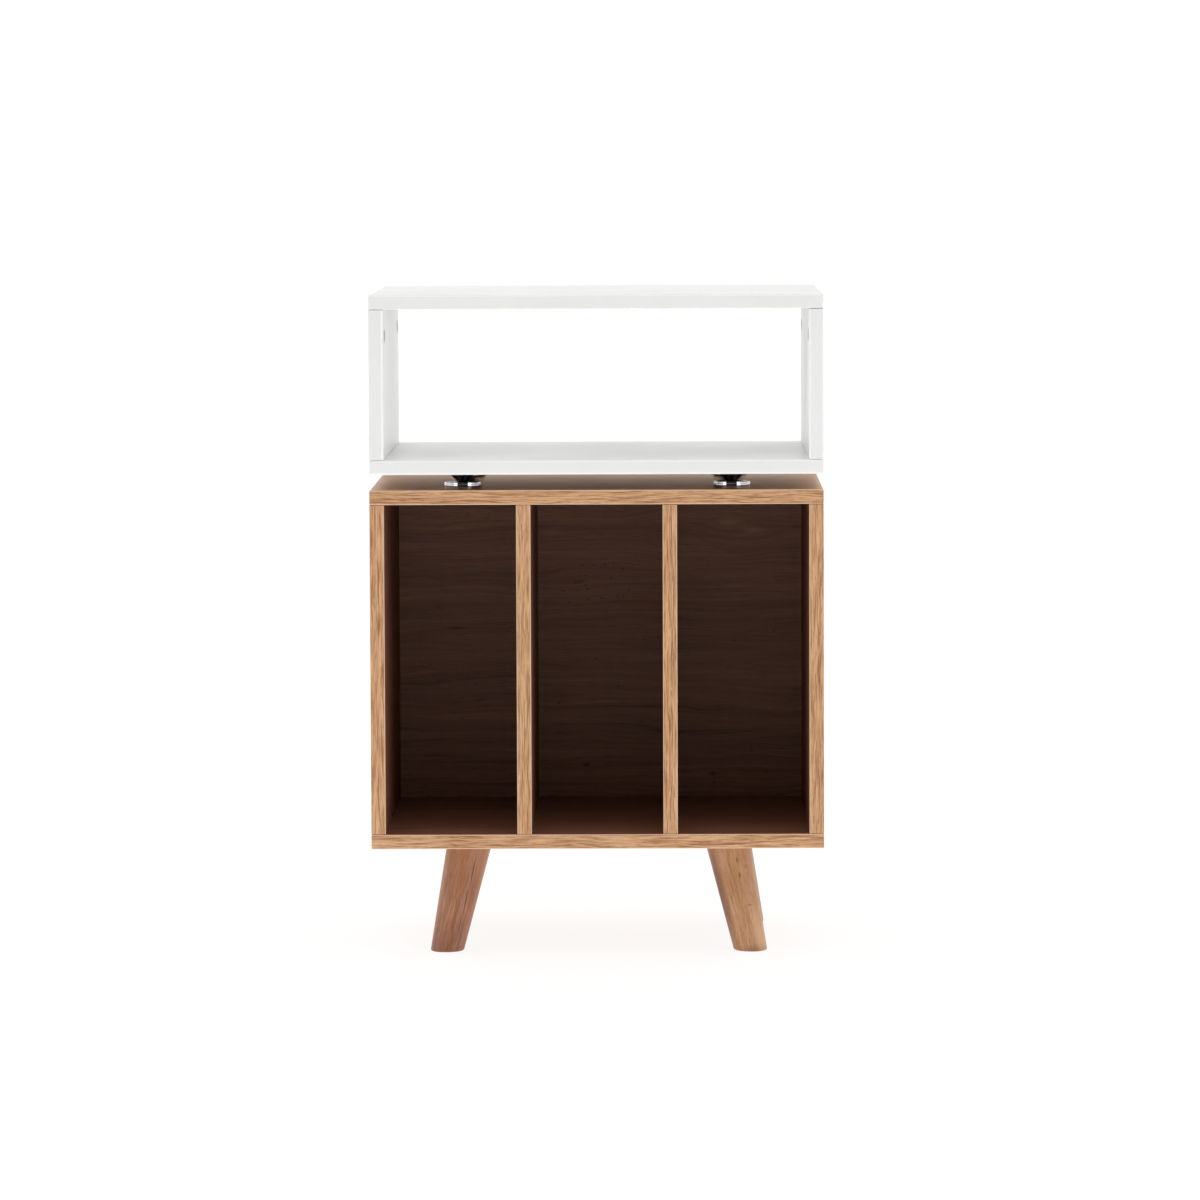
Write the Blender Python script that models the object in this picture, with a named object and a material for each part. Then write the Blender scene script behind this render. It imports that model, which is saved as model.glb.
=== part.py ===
"""Stereo cabinet: a record cabinet on splayed legs with a white shelf unit on metal cones.

Lengths are metres, +Z is up, and the open front faces -Y. The origin is on the floor, under
the middle of the cabinet. The boards are joined as flat-pack furniture is: cam locks at the
top of each side panel, dowels at the top of every upright board and long countersunk screws
from below. The dowels are glued into the uprights and the bolts into the legs, so each is
one body with the piece that carries it. Pieces that touch keep a thin seam.
"""

import math
from collections import namedtuple

import bmesh
import bpy
from mathutils import Matrix, Vector

# Values shared by the whole part
SEAM = 0.0003
OVERRUN = 0.003
WELD_DISTANCE = 0.000001
CREASE_ANGLE = 35.0
ROUND_PROFILE = 0.5
QUARTER_TURN = math.tau / 4

# Wooden cabinet
CABINET_WIDTH = 0.500
CABINET_DEPTH = 0.400
CABINET_BOARD = 0.016
COMPARTMENT_HEIGHT = 0.365
COMPARTMENTS = 3
BOARD_ROUNDING = 0.0004
EDGE_BAND = 0.002
EDGE_BAND_ROUNDING = 0.001
EDGE_BAND_ROUNDING_STEPS = 2

# Back panel, let into grooves in the four outer boards
BACK_PANEL = 0.004
BACK_PANEL_INSET = 0.012
GROOVE_DEPTH = 0.006

# White shelf unit
SHELF_BOARD = 0.016
SHELF_CLEAR_HEIGHT = 0.166
SHELF_ROUNDING = 0.0025
SHELF_ROUNDING_STEPS = 2
SHELF_GAP = 0.017

# Legs, cut level at both ends, with the foot further out than the top
LEG_HEIGHT = 0.1235
LEG_TOP_DIAMETER = 0.050
LEG_FOOT_DIAMETER = 0.0365
LEG_TOP_SETBACK = 0.106
LEG_SPREAD = 0.026
LEG_FOOT_ROUNDING = 0.0025
LEG_FOOT_ROUNDING_STEPS = 3
LEG_TOP_ROUNDING = 0.0006
LEG_TOP_ROUNDING_STEPS = 1
LEG_SIDES = 26

# Bolts that stand out of the tops of the legs
LEG_BOLT_DIAMETER = 0.008
LEG_BOLT_REACH = 0.012
LEG_BOLT_IN_LEG = 0.030
LEG_BOLT_TIP = 0.001

# Metal cones and the discs that their tips stand on
CONE_DIAMETER = 0.034
CONE_RIM = 0.0015
CONE_TIP_DIAMETER = 0.009
CONE_TIP_ROUNDING = 0.0006
CONE_SETBACK_X = 0.100
CONE_SETBACK_Y = 0.094
CONE_SIDES = 24
DISC_DIAMETER = 0.0415
DISC_HEIGHT = 0.0040
DISC_CHAMFER = 0.0005
DISC_DIMPLE_DIAMETER = 0.012
DISC_DIMPLE_DEPTH = 0.0010
STUD_DIAMETER = 0.008
STUD_LENGTH = 0.012
STUD_TIP = 0.001

# Cam locks: drums in the side panels, bolts in the top boards
CAM_SETBACK = 0.037
CAM_DIAMETER = 0.015
CAM_LENGTH = 0.0125
CAM_RECESS = 0.0004
CAM_CHAMFER = 0.0004
CAM_CORE_RADIUS = 0.0014
CAM_POCKET_RADIUS = 0.0050
CAM_SLOT_WIDTH = 0.0046
CAM_POCKET_START = -70.0
CAM_POCKET_TURN = 210.0
CAM_POCKET_STEPS = 7
CAM_POCKET_CLEARANCE = 0.0006
CAM_SIDES = 14
CAM_CROSS_SPAN = 0.0082
CAM_CROSS_WIDTH = 0.0018
CAM_CROSS_DEPTH = 0.0022
CABINET_CAM_DROP = 0.024
SHELF_CAM_DROP = 0.030
CAM_BOLT_THREAD_DIAMETER = 0.006
CAM_BOLT_THREAD_LENGTH = 0.0105
CAM_BOLT_COLLAR_DIAMETER = 0.0074
CAM_BOLT_COLLAR = 0.001
CAM_BOLT_SHAFT_DIAMETER = 0.0058
CAM_BOLT_NECK_DIAMETER = 0.0038
CAM_BOLT_HEAD_DIAMETER = 0.0062
CAM_BOLT_HEAD = 0.0026
CAM_BOLT_HEAD_RISE = 0.0019
CAM_BOLT_BORE_DIAMETER = 0.008

# Dowels
DOWEL_DIAMETER = 0.008
DOWEL_LENGTH = 0.030
DOWEL_IN_FACE = 0.010
DOWEL_CHAMFER = 0.001
DOWEL_SETBACK = 0.069

# Long board screws, driven from below
SCREW_SETBACK = 0.050
SCREW_LENGTH = 0.050
SCREW_HEAD_DIAMETER = 0.010
SCREW_HEAD = 0.003
SCREW_HEAD_RIM = 0.0008
SCREW_SHANK_DIAMETER = 0.0064
SCREW_TIP = 0.004
SCREW_TIP_DIAMETER = 0.003
SCREW_SOCKET_DIAMETER = 0.004
SCREW_SOCKET_DEPTH = 0.0025
SCREW_SINK = 0.0004

# Facets round the small turned pieces and their holes
FASTENER_SIDES = 10

# Heights, from the floor up
CABINET_UNDERSIDE = LEG_HEIGHT
CABINET_FLOOR = CABINET_UNDERSIDE + CABINET_BOARD
CABINET_CEILING = CABINET_FLOOR + COMPARTMENT_HEIGHT
CABINET_TOP = CABINET_CEILING + CABINET_BOARD
SHELF_UNDERSIDE = CABINET_TOP + SHELF_GAP
SHELF_FLOOR = SHELF_UNDERSIDE + SHELF_BOARD
SHELF_CEILING = SHELF_FLOOR + SHELF_CLEAR_HEIGHT
SHELF_TOP = SHELF_CEILING + SHELF_BOARD

# Places across and along
HALF_WIDTH = CABINET_WIDTH / 2
FRONT = -CABINET_DEPTH / 2
REAR = CABINET_DEPTH / 2
BOARD_FRONT = FRONT + EDGE_BAND + SEAM
COMPARTMENT_WIDTH = (CABINET_WIDTH - (COMPARTMENTS + 1) * CABINET_BOARD) / COMPARTMENTS
DIVIDER_PITCH = COMPARTMENT_WIDTH + CABINET_BOARD
BACK_PANEL_REAR = REAR - BACK_PANEL_INSET
BACK_PANEL_FRONT = BACK_PANEL_REAR - BACK_PANEL
CABINET_INNER_HALF = HALF_WIDTH - CABINET_BOARD
CABINET_SIDE_MIDDLE = HALF_WIDTH - CABINET_BOARD / 2
SHELF_SIDE_MIDDLE = HALF_WIDTH - SHELF_BOARD / 2

Finish = namedtuple("Finish", "colour roughness metallic")

OAK = Finish((0.52, 0.29, 0.15), 0.45, 0.0)
OAK_EDGE = Finish((0.55, 0.31, 0.17), 0.42, 0.0)
WALNUT = Finish((0.10, 0.045, 0.026), 0.50, 0.0)
SOLID_WOOD = Finish((0.44, 0.22, 0.12), 0.40, 0.0)
WHITE_LACQUER = Finish((0.80, 0.80, 0.79), 0.35, 0.0)
BLACK_CHROME = Finish((0.10, 0.10, 0.11), 0.18, 1.0)
CHROME = Finish((0.78, 0.78, 0.80), 0.08, 1.0)
ZINC = Finish((0.42, 0.42, 0.44), 0.35, 1.0)
STEEL = Finish((0.55, 0.55, 0.56), 0.30, 1.0)


def clear_scene():
    """Removes every object that the open scene holds."""
    for old in list(bpy.data.objects):
        bpy.data.objects.remove(old, do_unlink=True)


def add_material(name, finish):
    """Makes one plain material with the finish's colour, roughness and metallic value."""
    material = bpy.data.materials.new(name)
    material.use_nodes = True
    shader = material.node_tree.nodes["Principled BSDF"]
    shader.inputs["Base Color"].default_value = (*finish.colour, 1.0)
    shader.inputs["Roughness"].default_value = finish.roughness
    shader.inputs["Metallic"].default_value = finish.metallic
    material.diffuse_color = (*finish.colour, 1.0)
    return material


def add_object(name, shape, location, finish=None):
    """Turns a bmesh into an object at its location; one without a finish is a cutter."""
    bmesh.ops.recalc_face_normals(shape, faces=shape.faces)
    mesh = bpy.data.meshes.new(name)
    shape.to_mesh(mesh)
    shape.free()
    item = bpy.data.objects.new(name, mesh)
    item.location = location
    bpy.context.collection.objects.link(item)
    if finish is None:
        item.hide_render = True
        item.display_type = "WIRE"
    else:
        mesh.materials.append(add_material(name + "_finish", finish))
    return item


def shade_round(item):
    """Shades a round piece smooth, with its edges over the crease angle kept crisp."""
    item.data.shade_smooth()
    item.data.set_sharp_from_angle(angle=math.radians(CREASE_ANGLE))


def combine(item, operation, others):
    """Adds one exact Boolean to the piece for each of the others."""
    for other in others:
        boolean = item.modifiers.new(operation.lower() + "_" + other.name, "BOOLEAN")
        boolean.operation = operation
        boolean.solver = "EXACT"
        boolean.object = other


def cut(item, *cutters):
    """Cuts each cutter out of the piece."""
    combine(item, "DIFFERENCE", cutters)


def fuse(item, *guides):
    """Joins what each guide holds to the piece, as one body."""
    combine(item, "UNION", guides)


def turn(shape, profile, place, sides):
    """Spins a (radius, height) outline about Z inside shape and moves it to its place.

    The outline starts and ends on the axis, so the shape is closed.
    """
    points = [shape.verts.new((radius, 0, height)) for radius, height in profile]
    edges = [shape.edges.new(pair) for pair in zip(points, points[1:])]
    bmesh.ops.spin(
        shape,
        geom=points + edges,
        cent=(0, 0, 0),
        axis=(0, 0, 1),
        angle=math.tau,
        steps=sides,
        use_merge=True,
    )
    fresh = [vert for vert in shape.verts if not vert.tag]
    bmesh.ops.remove_doubles(shape, verts=fresh, dist=WELD_DISTANCE)
    fresh = [vert for vert in shape.verts if not vert.tag]
    bmesh.ops.transform(shape, matrix=place, verts=fresh)
    for vert in fresh:
        vert.tag = True


def turned(name, profile, places, sides=FASTENER_SIDES):
    """Makes one cutter that holds the same turned shape at each of its places."""
    shape = bmesh.new()
    for place in places:
        turn(shape, profile, place, sides)
    return add_object(name, shape, Vector())


def turned_piece(name, profile, finish, sides=FASTENER_SIDES):
    """Makes one turned piece that stands upright at the origin."""
    shape = bmesh.new()
    turn(shape, profile, Matrix(), sides)
    item = add_object(name, shape, Vector(), finish)
    shade_round(item)
    return item


def copy_to(item, places):
    """Sets copies of a piece, with its cuts made, at its named places and removes the piece.

    All the copies share one mesh.
    """
    bpy.context.view_layer.update()
    view = bpy.context.evaluated_depsgraph_get()
    finished = bpy.data.meshes.new_from_object(item.evaluated_get(view))
    finished.materials.clear()
    finished.materials.append(item.data.materials[0])
    finished.name = item.data.name + "_mesh"
    cutters = [modifier.object for modifier in item.modifiers]
    for old in [item, *cutters]:
        bpy.data.objects.remove(old, do_unlink=True)
    for name, place in places.items():
        fresh = bpy.data.objects.new(name, finished)
        fresh.matrix_world = place
        bpy.context.collection.objects.link(fresh)


def facing(point, direction, up=(0, 0, 1)):
    """Gives the place at point whose local +Z looks along direction and local +Y along up."""
    z_axis = Vector(direction).normalized()
    y_axis = Vector(up).normalized()
    x_axis = y_axis.cross(z_axis)
    turn_to = Matrix((x_axis, y_axis, z_axis)).transposed().to_4x4()
    return Matrix.Translation(point) @ turn_to


def upright(points):
    """Gives a place with local +Z straight up at each point."""
    return [Matrix.Translation(point) for point in points]


def upside_down(points):
    """Gives a place with local +Z straight down at each point."""
    return [facing(point, (0, 0, -1), (0, 1, 0)) for point in points]


def spanned_box(x_span, y_span, z_span):
    """Gives a plain box as wide as three spans, about its own middle, and that middle."""
    low, high = (Vector(ends) for ends in zip(x_span, y_span, z_span))
    shape = bmesh.new()
    bmesh.ops.create_cube(shape, size=1)
    bmesh.ops.scale(shape, vec=high - low, verts=shape.verts)
    return shape, (low + high) / 2


def round_edges(shape, edges, rounding, steps):
    """Rounds some edges of a shape, with one flat chamfer where there is one step."""
    bmesh.ops.bevel(
        shape,
        geom=edges,
        offset=rounding,
        segments=steps,
        profile=ROUND_PROFILE,
        affect="EDGES",
        clamp_overlap=True,
    )


def board(name, x_span, y_span, z_span, finish, rounding=BOARD_ROUNDING, steps=1):
    """Makes one board between three spans, with all its arrises eased."""
    shape, middle = spanned_box(x_span, y_span, z_span)
    round_edges(shape, shape.edges[:], rounding, steps)
    item = add_object(name, shape, middle, finish)
    if steps > 1:
        shade_round(item)
    return item


def block_cutter(name, x_span, y_span, z_span):
    """Makes a plain box that is cut out of something."""
    shape, middle = spanned_box(x_span, y_span, z_span)
    return add_object(name, shape, middle)


def hole(diameter, depth):
    """Gives the outline of a blind hole that runs down from its mouth at height zero."""
    radius = diameter / 2 + SEAM
    return [(0, OVERRUN), (radius, OVERRUN), (radius, -depth - SEAM), (0, -depth - SEAM)]


def rod(diameter, low, high, low_chamfer, high_chamfer):
    """Gives the outline of a round rod with chamfered ends."""
    radius = diameter / 2
    return [
        (0, low),
        (radius - low_chamfer, low),
        (radius, low + low_chamfer),
        (radius, high - high_chamfer),
        (radius - high_chamfer, high),
        (0, high),
    ]


def front_and_rear(x, setback, height):
    """Gives the two points, by name, that lie one setback inside the front and the rear."""
    return {
        "front": Vector((x, FRONT + setback, height)),
        "rear": Vector((x, REAR - setback, height)),
    }


def corner_points(x, setback, height):
    """Gives four points by corner name, at plus and minus x and one setback from each end."""
    return {
        depth_word + "_" + side_word: point
        for side_word, side in (("left", -1), ("right", 1))
        for depth_word, point in front_and_rear(side * x, setback, height).items()
    }


def divider_middles():
    """Gives the middle of each divider across the cabinet, from left to right."""
    first = -HALF_WIDTH + CABINET_BOARD + COMPARTMENT_WIDTH + CABINET_BOARD / 2
    return [first + index * DIVIDER_PITCH for index in range(COMPARTMENTS - 1)]


def dowel_outline():
    """Gives a dowel's outline; height zero is the seam between the two boards."""
    edge_end = DOWEL_IN_FACE - DOWEL_LENGTH
    return rod(DOWEL_DIAMETER, edge_end, DOWEL_IN_FACE, DOWEL_CHAMFER, DOWEL_CHAMFER)


def screw_outline():
    """Gives a long screw's outline, with its head at the bottom and a round socket in it."""
    head = SCREW_HEAD_DIAMETER / 2
    shank = SCREW_SHANK_DIAMETER / 2
    socket = SCREW_SOCKET_DIAMETER / 2
    low = SCREW_SINK
    return [
        (0, low + SCREW_SOCKET_DEPTH),
        (socket, low + SCREW_SOCKET_DEPTH),
        (socket, low),
        (head, low),
        (head, low + SCREW_HEAD_RIM),
        (shank, low + SCREW_HEAD),
        (shank, low + SCREW_LENGTH - SCREW_TIP),
        (SCREW_TIP_DIAMETER / 2, low + SCREW_LENGTH),
        (0, low + SCREW_LENGTH),
    ]


def screw_hole_outline():
    """Gives the countersunk hole that takes a long screw with a seam all round it."""
    head = SCREW_HEAD_DIAMETER / 2 + SEAM
    shank = SCREW_SHANK_DIAMETER / 2 + SEAM
    end = SCREW_SINK + SCREW_LENGTH + SEAM
    return [
        (0, -OVERRUN),
        (head, -OVERRUN),
        (head, SCREW_SINK + SCREW_HEAD_RIM + SEAM),
        (shank, SCREW_SINK + SCREW_HEAD + SEAM),
        (shank, end),
        (0, end),
    ]


def cam_bolt_outline(drop):
    """Gives a cam bolt's outline: thread above height zero, head in the cam drum below it."""
    head_high = -drop + CAM_BOLT_HEAD_RISE + CAM_BOLT_HEAD
    head_low = -drop + CAM_BOLT_HEAD_RISE
    shaft_low = -drop + CAM_DIAMETER / 2 + SEAM
    head = CAM_BOLT_HEAD_DIAMETER / 2
    neck = CAM_BOLT_NECK_DIAMETER / 2
    shaft = CAM_BOLT_SHAFT_DIAMETER / 2
    collar = CAM_BOLT_COLLAR_DIAMETER / 2
    thread = CAM_BOLT_THREAD_DIAMETER / 2
    return [
        (0, head_low),
        (head, head_low),
        (head, head_high),
        (neck, head_high),
        (neck, shaft_low),
        (shaft, shaft_low),
        (shaft, -SEAM - CAM_BOLT_COLLAR),
        (collar, -SEAM - CAM_BOLT_COLLAR),
        (collar, -SEAM),
        (thread, -SEAM),
        (thread, CAM_BOLT_THREAD_LENGTH),
        (0, CAM_BOLT_THREAD_LENGTH),
    ]


def cam_places(side_middle, thickness, ceiling, drop):
    """Gives each cam drum's place: on the inner face of its side panel, looking inwards."""
    points = corner_points(side_middle - thickness / 2, CAM_SETBACK, ceiling - drop)
    return {
        corner: facing(point, (math.copysign(1, -point.x), 0, 0))
        for corner, point in points.items()
    }


def swept_pocket(shape, middle):
    """Adds the curved T-shaped pocket that a cam turns over the head of its bolt."""
    wide = CAM_BOLT_HEAD_DIAMETER / 2 + CAM_POCKET_CLEARANCE
    narrow = CAM_SLOT_WIDTH / 2
    outside = CAM_DIAMETER / 2 + OVERRUN
    outline = [
        (CAM_CORE_RADIUS, middle - wide),
        (CAM_POCKET_RADIUS, middle - wide),
        (CAM_POCKET_RADIUS, middle - narrow),
        (outside, middle - narrow),
        (outside, middle + narrow),
        (CAM_POCKET_RADIUS, middle + narrow),
        (CAM_POCKET_RADIUS, middle + wide),
        (CAM_CORE_RADIUS, middle + wide),
    ]
    start = QUARTER_TURN + math.radians(CAM_POCKET_START)
    points = [
        shape.verts.new((radius * math.cos(start), radius * math.sin(start), height))
        for radius, height in outline
    ]
    edges = [shape.edges.new(pair) for pair in zip(points, points[1:] + points[:1])]
    bmesh.ops.spin(
        shape,
        geom=points + edges,
        cent=(0, 0, 0),
        axis=(0, 0, 1),
        angle=math.radians(CAM_POCKET_TURN),
        steps=CAM_POCKET_STEPS,
    )
    bmesh.ops.holes_fill(shape, edges=shape.edges[:])


def cross_slot(shape):
    """Adds the cross that a screwdriver turns, sunk into the face of a cam drum."""
    arm = CAM_CROSS_SPAN / 2
    half = CAM_CROSS_WIDTH / 2
    quarter = [(half, half), (half, arm), (-half, arm)]
    outline = []
    for step in range(4):
        turn_by = Matrix.Rotation(step * QUARTER_TURN, 3, "Z")
        outline += [turn_by @ Vector((x, y, 0)) for x, y in quarter]
    low = -CAM_RECESS - CAM_CROSS_DEPTH
    base = [shape.verts.new((point.x, point.y, low)) for point in outline]
    face = shape.faces.new(base)
    raised = bmesh.ops.extrude_face_region(shape, geom=[face], use_keep_orig=True)
    tops = [item for item in raised["geom"] if isinstance(item, bmesh.types.BMVert)]
    bmesh.ops.translate(shape, vec=(0, 0, OVERRUN - low), verts=tops)


def cam_drum(name, middle):
    """Makes one cam drum with its face at height zero, its curved pocket and its cross."""
    radius = CAM_DIAMETER / 2
    low = -CAM_RECESS - CAM_LENGTH
    drum = [(0, low), (radius, low), (radius, -CAM_RECESS - CAM_CHAMFER)]
    drum += [(radius - CAM_CHAMFER, -CAM_RECESS), (0, -CAM_RECESS)]
    item = turned_piece(name, drum, ZINC, sides=CAM_SIDES)

    pocket = bmesh.new()
    swept_pocket(pocket, middle)
    cross = bmesh.new()
    cross_slot(cross)
    entry_radius = CAM_BOLT_HEAD_DIAMETER / 2 + CAM_POCKET_CLEARANCE
    reach = CAM_DIAMETER / 2 + OVERRUN
    entry = [(0, 0), (entry_radius, 0), (entry_radius, reach), (0, reach)]
    swing = Matrix.Rotation(math.radians(CAM_POCKET_START + CAM_POCKET_TURN), 4, "Z")
    lie_down = Matrix.Rotation(-QUARTER_TURN, 4, "X")
    entry_place = Matrix.Translation((0, 0, middle)) @ swing @ lie_down
    cut(
        item,
        add_object(name + "_pocket", pocket, Vector()),
        turned(name + "_entry", entry, [entry_place]),
        add_object(name + "_cross", cross, Vector()),
    )
    return item


def add_cam_locks(unit, side_middle, thickness, ceiling, drop):
    """Makes one unit's cam drums and cam bolts, and gives the cutters for their holes."""
    places = cam_places(side_middle, thickness, ceiling, drop)
    drum = cam_drum(unit + "_cam_lock", -thickness / 2)
    copy_to(drum, {unit + "_cam_lock_" + corner: place for corner, place in places.items()})

    points = corner_points(side_middle, CAM_SETBACK, ceiling)
    bolt = turned_piece(unit + "_cam_bolt", cam_bolt_outline(drop), STEEL)
    bolt_places = zip(points, upright(points.values()))
    copy_to(bolt, {unit + "_cam_bolt_" + corner: place for corner, place in bolt_places})

    drum_hole = hole(CAM_DIAMETER, CAM_RECESS + CAM_LENGTH)
    edge_hole = hole(CAM_BOLT_BORE_DIAMETER, drop)
    thread_hole = hole(CAM_BOLT_THREAD_DIAMETER, CAM_BOLT_THREAD_LENGTH)
    return (
        turned(unit + "_cam_drum_holes", drum_hole, places.values(), sides=CAM_SIDES),
        turned(unit + "_cam_edge_holes", edge_hole, upright(points.values())),
        turned(unit + "_cam_thread_holes", thread_hole, upside_down(points.values())),
    )


def glue_dowels(uprights, height):
    """Glues dowels into the top of each upright, and gives the cutter for their holes above.

    The uprights are listed as (piece, middle across) pairs.
    """
    points = []
    for item, middle in uprights:
        own_points = list(front_and_rear(middle, DOWEL_SETBACK, height).values())
        fuse(item, turned(item.name + "_dowels", dowel_outline(), upright(own_points)))
        points += own_points
    face_hole = hole(DOWEL_DIAMETER, DOWEL_IN_FACE)
    return turned("dowel_holes", face_hole, upside_down(points))


def add_long_screws(points_by_name):
    """Makes the long screws, and gives the cutter for their countersunk holes."""
    screw = turned_piece("long_screw", screw_outline(), STEEL)
    places = dict(zip(points_by_name, upright(points_by_name.values())))
    copy_to(screw, places)
    return turned("screw_holes", screw_hole_outline(), places.values())


def edge_band(name, x_span, z_span):
    """Makes the strip on the front edge of one board, with its front arrises rounded."""
    shape, middle = spanned_box(x_span, (FRONT, FRONT + EDGE_BAND), z_span)
    front_edges = [edge for edge in shape.edges if all(vert.co.y < 0 for vert in edge.verts)]
    round_edges(shape, front_edges, EDGE_BAND_ROUNDING, EDGE_BAND_ROUNDING_STEPS)
    item = add_object(name, shape, middle, OAK_EDGE)
    shade_round(item)


def add_cabinet():
    """Makes the wooden cabinet: its boards, edge bands, back panel and hidden fasteners."""
    full_width = (-HALF_WIDTH, HALF_WIDTH)
    upright_span = (CABINET_FLOOR + SEAM, CABINET_CEILING - SEAM)
    bottom_span = (CABINET_UNDERSIDE, CABINET_FLOOR)
    top_span = (CABINET_CEILING, CABINET_TOP)
    full_depth = (BOARD_FRONT, REAR)
    top = board("cabinet_top", full_width, full_depth, top_span, OAK)
    bottom = board("cabinet_bottom", full_width, full_depth, bottom_span, OAK)
    edge_band("edge_band_top", full_width, top_span)
    edge_band("edge_band_bottom", full_width, bottom_span)

    sides = []
    for word, side in (("left", -1), ("right", 1)):
        x_span = sorted((side * CABINET_INNER_HALF, side * HALF_WIDTH))
        sides.append(board("cabinet_side_" + word, x_span, full_depth, upright_span, OAK))
        edge_band("edge_band_side_" + word, x_span, upright_span)

    dividers = []
    divider_depth = (BOARD_FRONT, BACK_PANEL_FRONT - SEAM)
    for number, middle in enumerate(divider_middles(), start=1):
        x_span = (middle - CABINET_BOARD / 2, middle + CABINET_BOARD / 2)
        name = "divider_" + str(number)
        dividers.append(board(name, x_span, divider_depth, upright_span, WALNUT))
        edge_band("edge_band_" + name, x_span, upright_span)

    add_back_panel(top, bottom, sides)

    drum_holes, edge_holes, thread_holes = add_cam_locks(
        "cabinet", CABINET_SIDE_MIDDLE, CABINET_BOARD, CABINET_CEILING, CABINET_CAM_DROP
    )
    screw_points = {
        "cabinet_screw_" + corner: point
        for corner, point in corner_points(
            CABINET_SIDE_MIDDLE, SCREW_SETBACK, CABINET_UNDERSIDE
        ).items()
    }
    for number, middle in enumerate(divider_middles(), start=1):
        ends = front_and_rear(middle, SCREW_SETBACK, CABINET_UNDERSIDE)
        for word, point in ends.items():
            screw_points["divider_screw_" + word + "_" + str(number)] = point
    screw_holes = add_long_screws(screw_points)
    for side in sides:
        cut(side, drum_holes, edge_holes, screw_holes)
    for divider in dividers:
        cut(divider, screw_holes)
    uprights = list(zip(sides, (-CABINET_SIDE_MIDDLE, CABINET_SIDE_MIDDLE)))
    uprights += zip(dividers, divider_middles())
    cut(top, thread_holes, glue_dowels(uprights, CABINET_CEILING))
    cut(bottom, screw_holes)
    return bottom


def add_back_panel(top, bottom, sides):
    """Makes the back panel and cuts the grooves that hold it on all four sides."""
    reach = GROOVE_DEPTH - SEAM
    board(
        "cabinet_back_panel",
        (-CABINET_INNER_HALF - reach, CABINET_INNER_HALF + reach),
        (BACK_PANEL_FRONT, BACK_PANEL_REAR),
        (CABINET_FLOOR - reach, CABINET_CEILING + reach),
        WALNUT,
    )
    groove = block_cutter(
        "back_panel_groove",
        (-CABINET_INNER_HALF - GROOVE_DEPTH, CABINET_INNER_HALF + GROOVE_DEPTH),
        (BACK_PANEL_FRONT - SEAM, BACK_PANEL_REAR + SEAM),
        (CABINET_FLOOR - GROOVE_DEPTH, CABINET_CEILING + GROOVE_DEPTH),
    )
    for item in (top, bottom, *sides):
        cut(item, groove)


def add_legs(bottom):
    """Makes the four legs with the bolts in their tops, and the holes for the bolts."""
    tops = corner_points(HALF_WIDTH - LEG_TOP_SETBACK, LEG_TOP_SETBACK, CABINET_UNDERSIDE)
    bolt = rod(LEG_BOLT_DIAMETER, -LEG_BOLT_IN_LEG, LEG_BOLT_REACH, LEG_BOLT_TIP, LEG_BOLT_TIP)
    for corner, point in tops.items():
        top_middle = point - Vector((0, 0, SEAM))
        spread_x = math.copysign(LEG_SPREAD, point.x)
        spread_y = math.copysign(LEG_SPREAD, point.y)
        foot_middle = Vector((point.x + spread_x, point.y + spread_y, 0))
        item = leg("leg_" + corner, foot_middle, top_middle)
        fuse(item, turned("leg_bolt_" + corner, bolt, upright([point])))
    bolt_hole = hole(LEG_BOLT_DIAMETER, LEG_BOLT_REACH)
    cut(bottom, turned("leg_bolt_holes", bolt_hole, upside_down(tops.values())))


def leg(name, foot_middle, top_middle):
    """Makes one tapered leg that leans outwards and is cut level at the foot and the top."""
    axis = top_middle - foot_middle
    lean = axis.angle(Vector((0, 0, 1)))
    spare = LEG_TOP_DIAMETER / 2 * math.tan(lean) + OVERRUN
    taper = (LEG_TOP_DIAMETER - LEG_FOOT_DIAMETER) / 2 / axis.length
    low_radius = LEG_FOOT_DIAMETER / 2 - taper * spare
    high_radius = LEG_TOP_DIAMETER / 2 + taper * spare
    outline = [(0, -spare), (low_radius, -spare), (high_radius, axis.length + spare)]
    outline.append((0, axis.length + spare))

    shape = bmesh.new()
    lean_over = Vector((0, 0, 1)).rotation_difference(axis).to_matrix().to_4x4()
    turn(shape, outline, lean_over, LEG_SIDES)
    for height, normal in ((0, -1), (top_middle.z, 1)):
        geometry = shape.verts[:] + shape.edges[:] + shape.faces[:]
        bmesh.ops.bisect_plane(
            shape,
            geom=geometry,
            dist=WELD_DISTANCE,
            plane_co=(0, 0, height),
            plane_no=(0, 0, normal),
            clear_outer=True,
        )
        bmesh.ops.holes_fill(shape, edges=shape.edges[:])
    for height, rounding, steps in (
        (0, LEG_FOOT_ROUNDING, LEG_FOOT_ROUNDING_STEPS),
        (top_middle.z, LEG_TOP_ROUNDING, LEG_TOP_ROUNDING_STEPS),
    ):
        rim = [
            edge
            for edge in shape.edges
            if all(abs(vert.co.z - height) < WELD_DISTANCE for vert in edge.verts)
        ]
        round_edges(shape, rim, rounding, steps)
    item = add_object(name, shape, foot_middle, SOLID_WOOD)
    shade_round(item)
    return item


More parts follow.
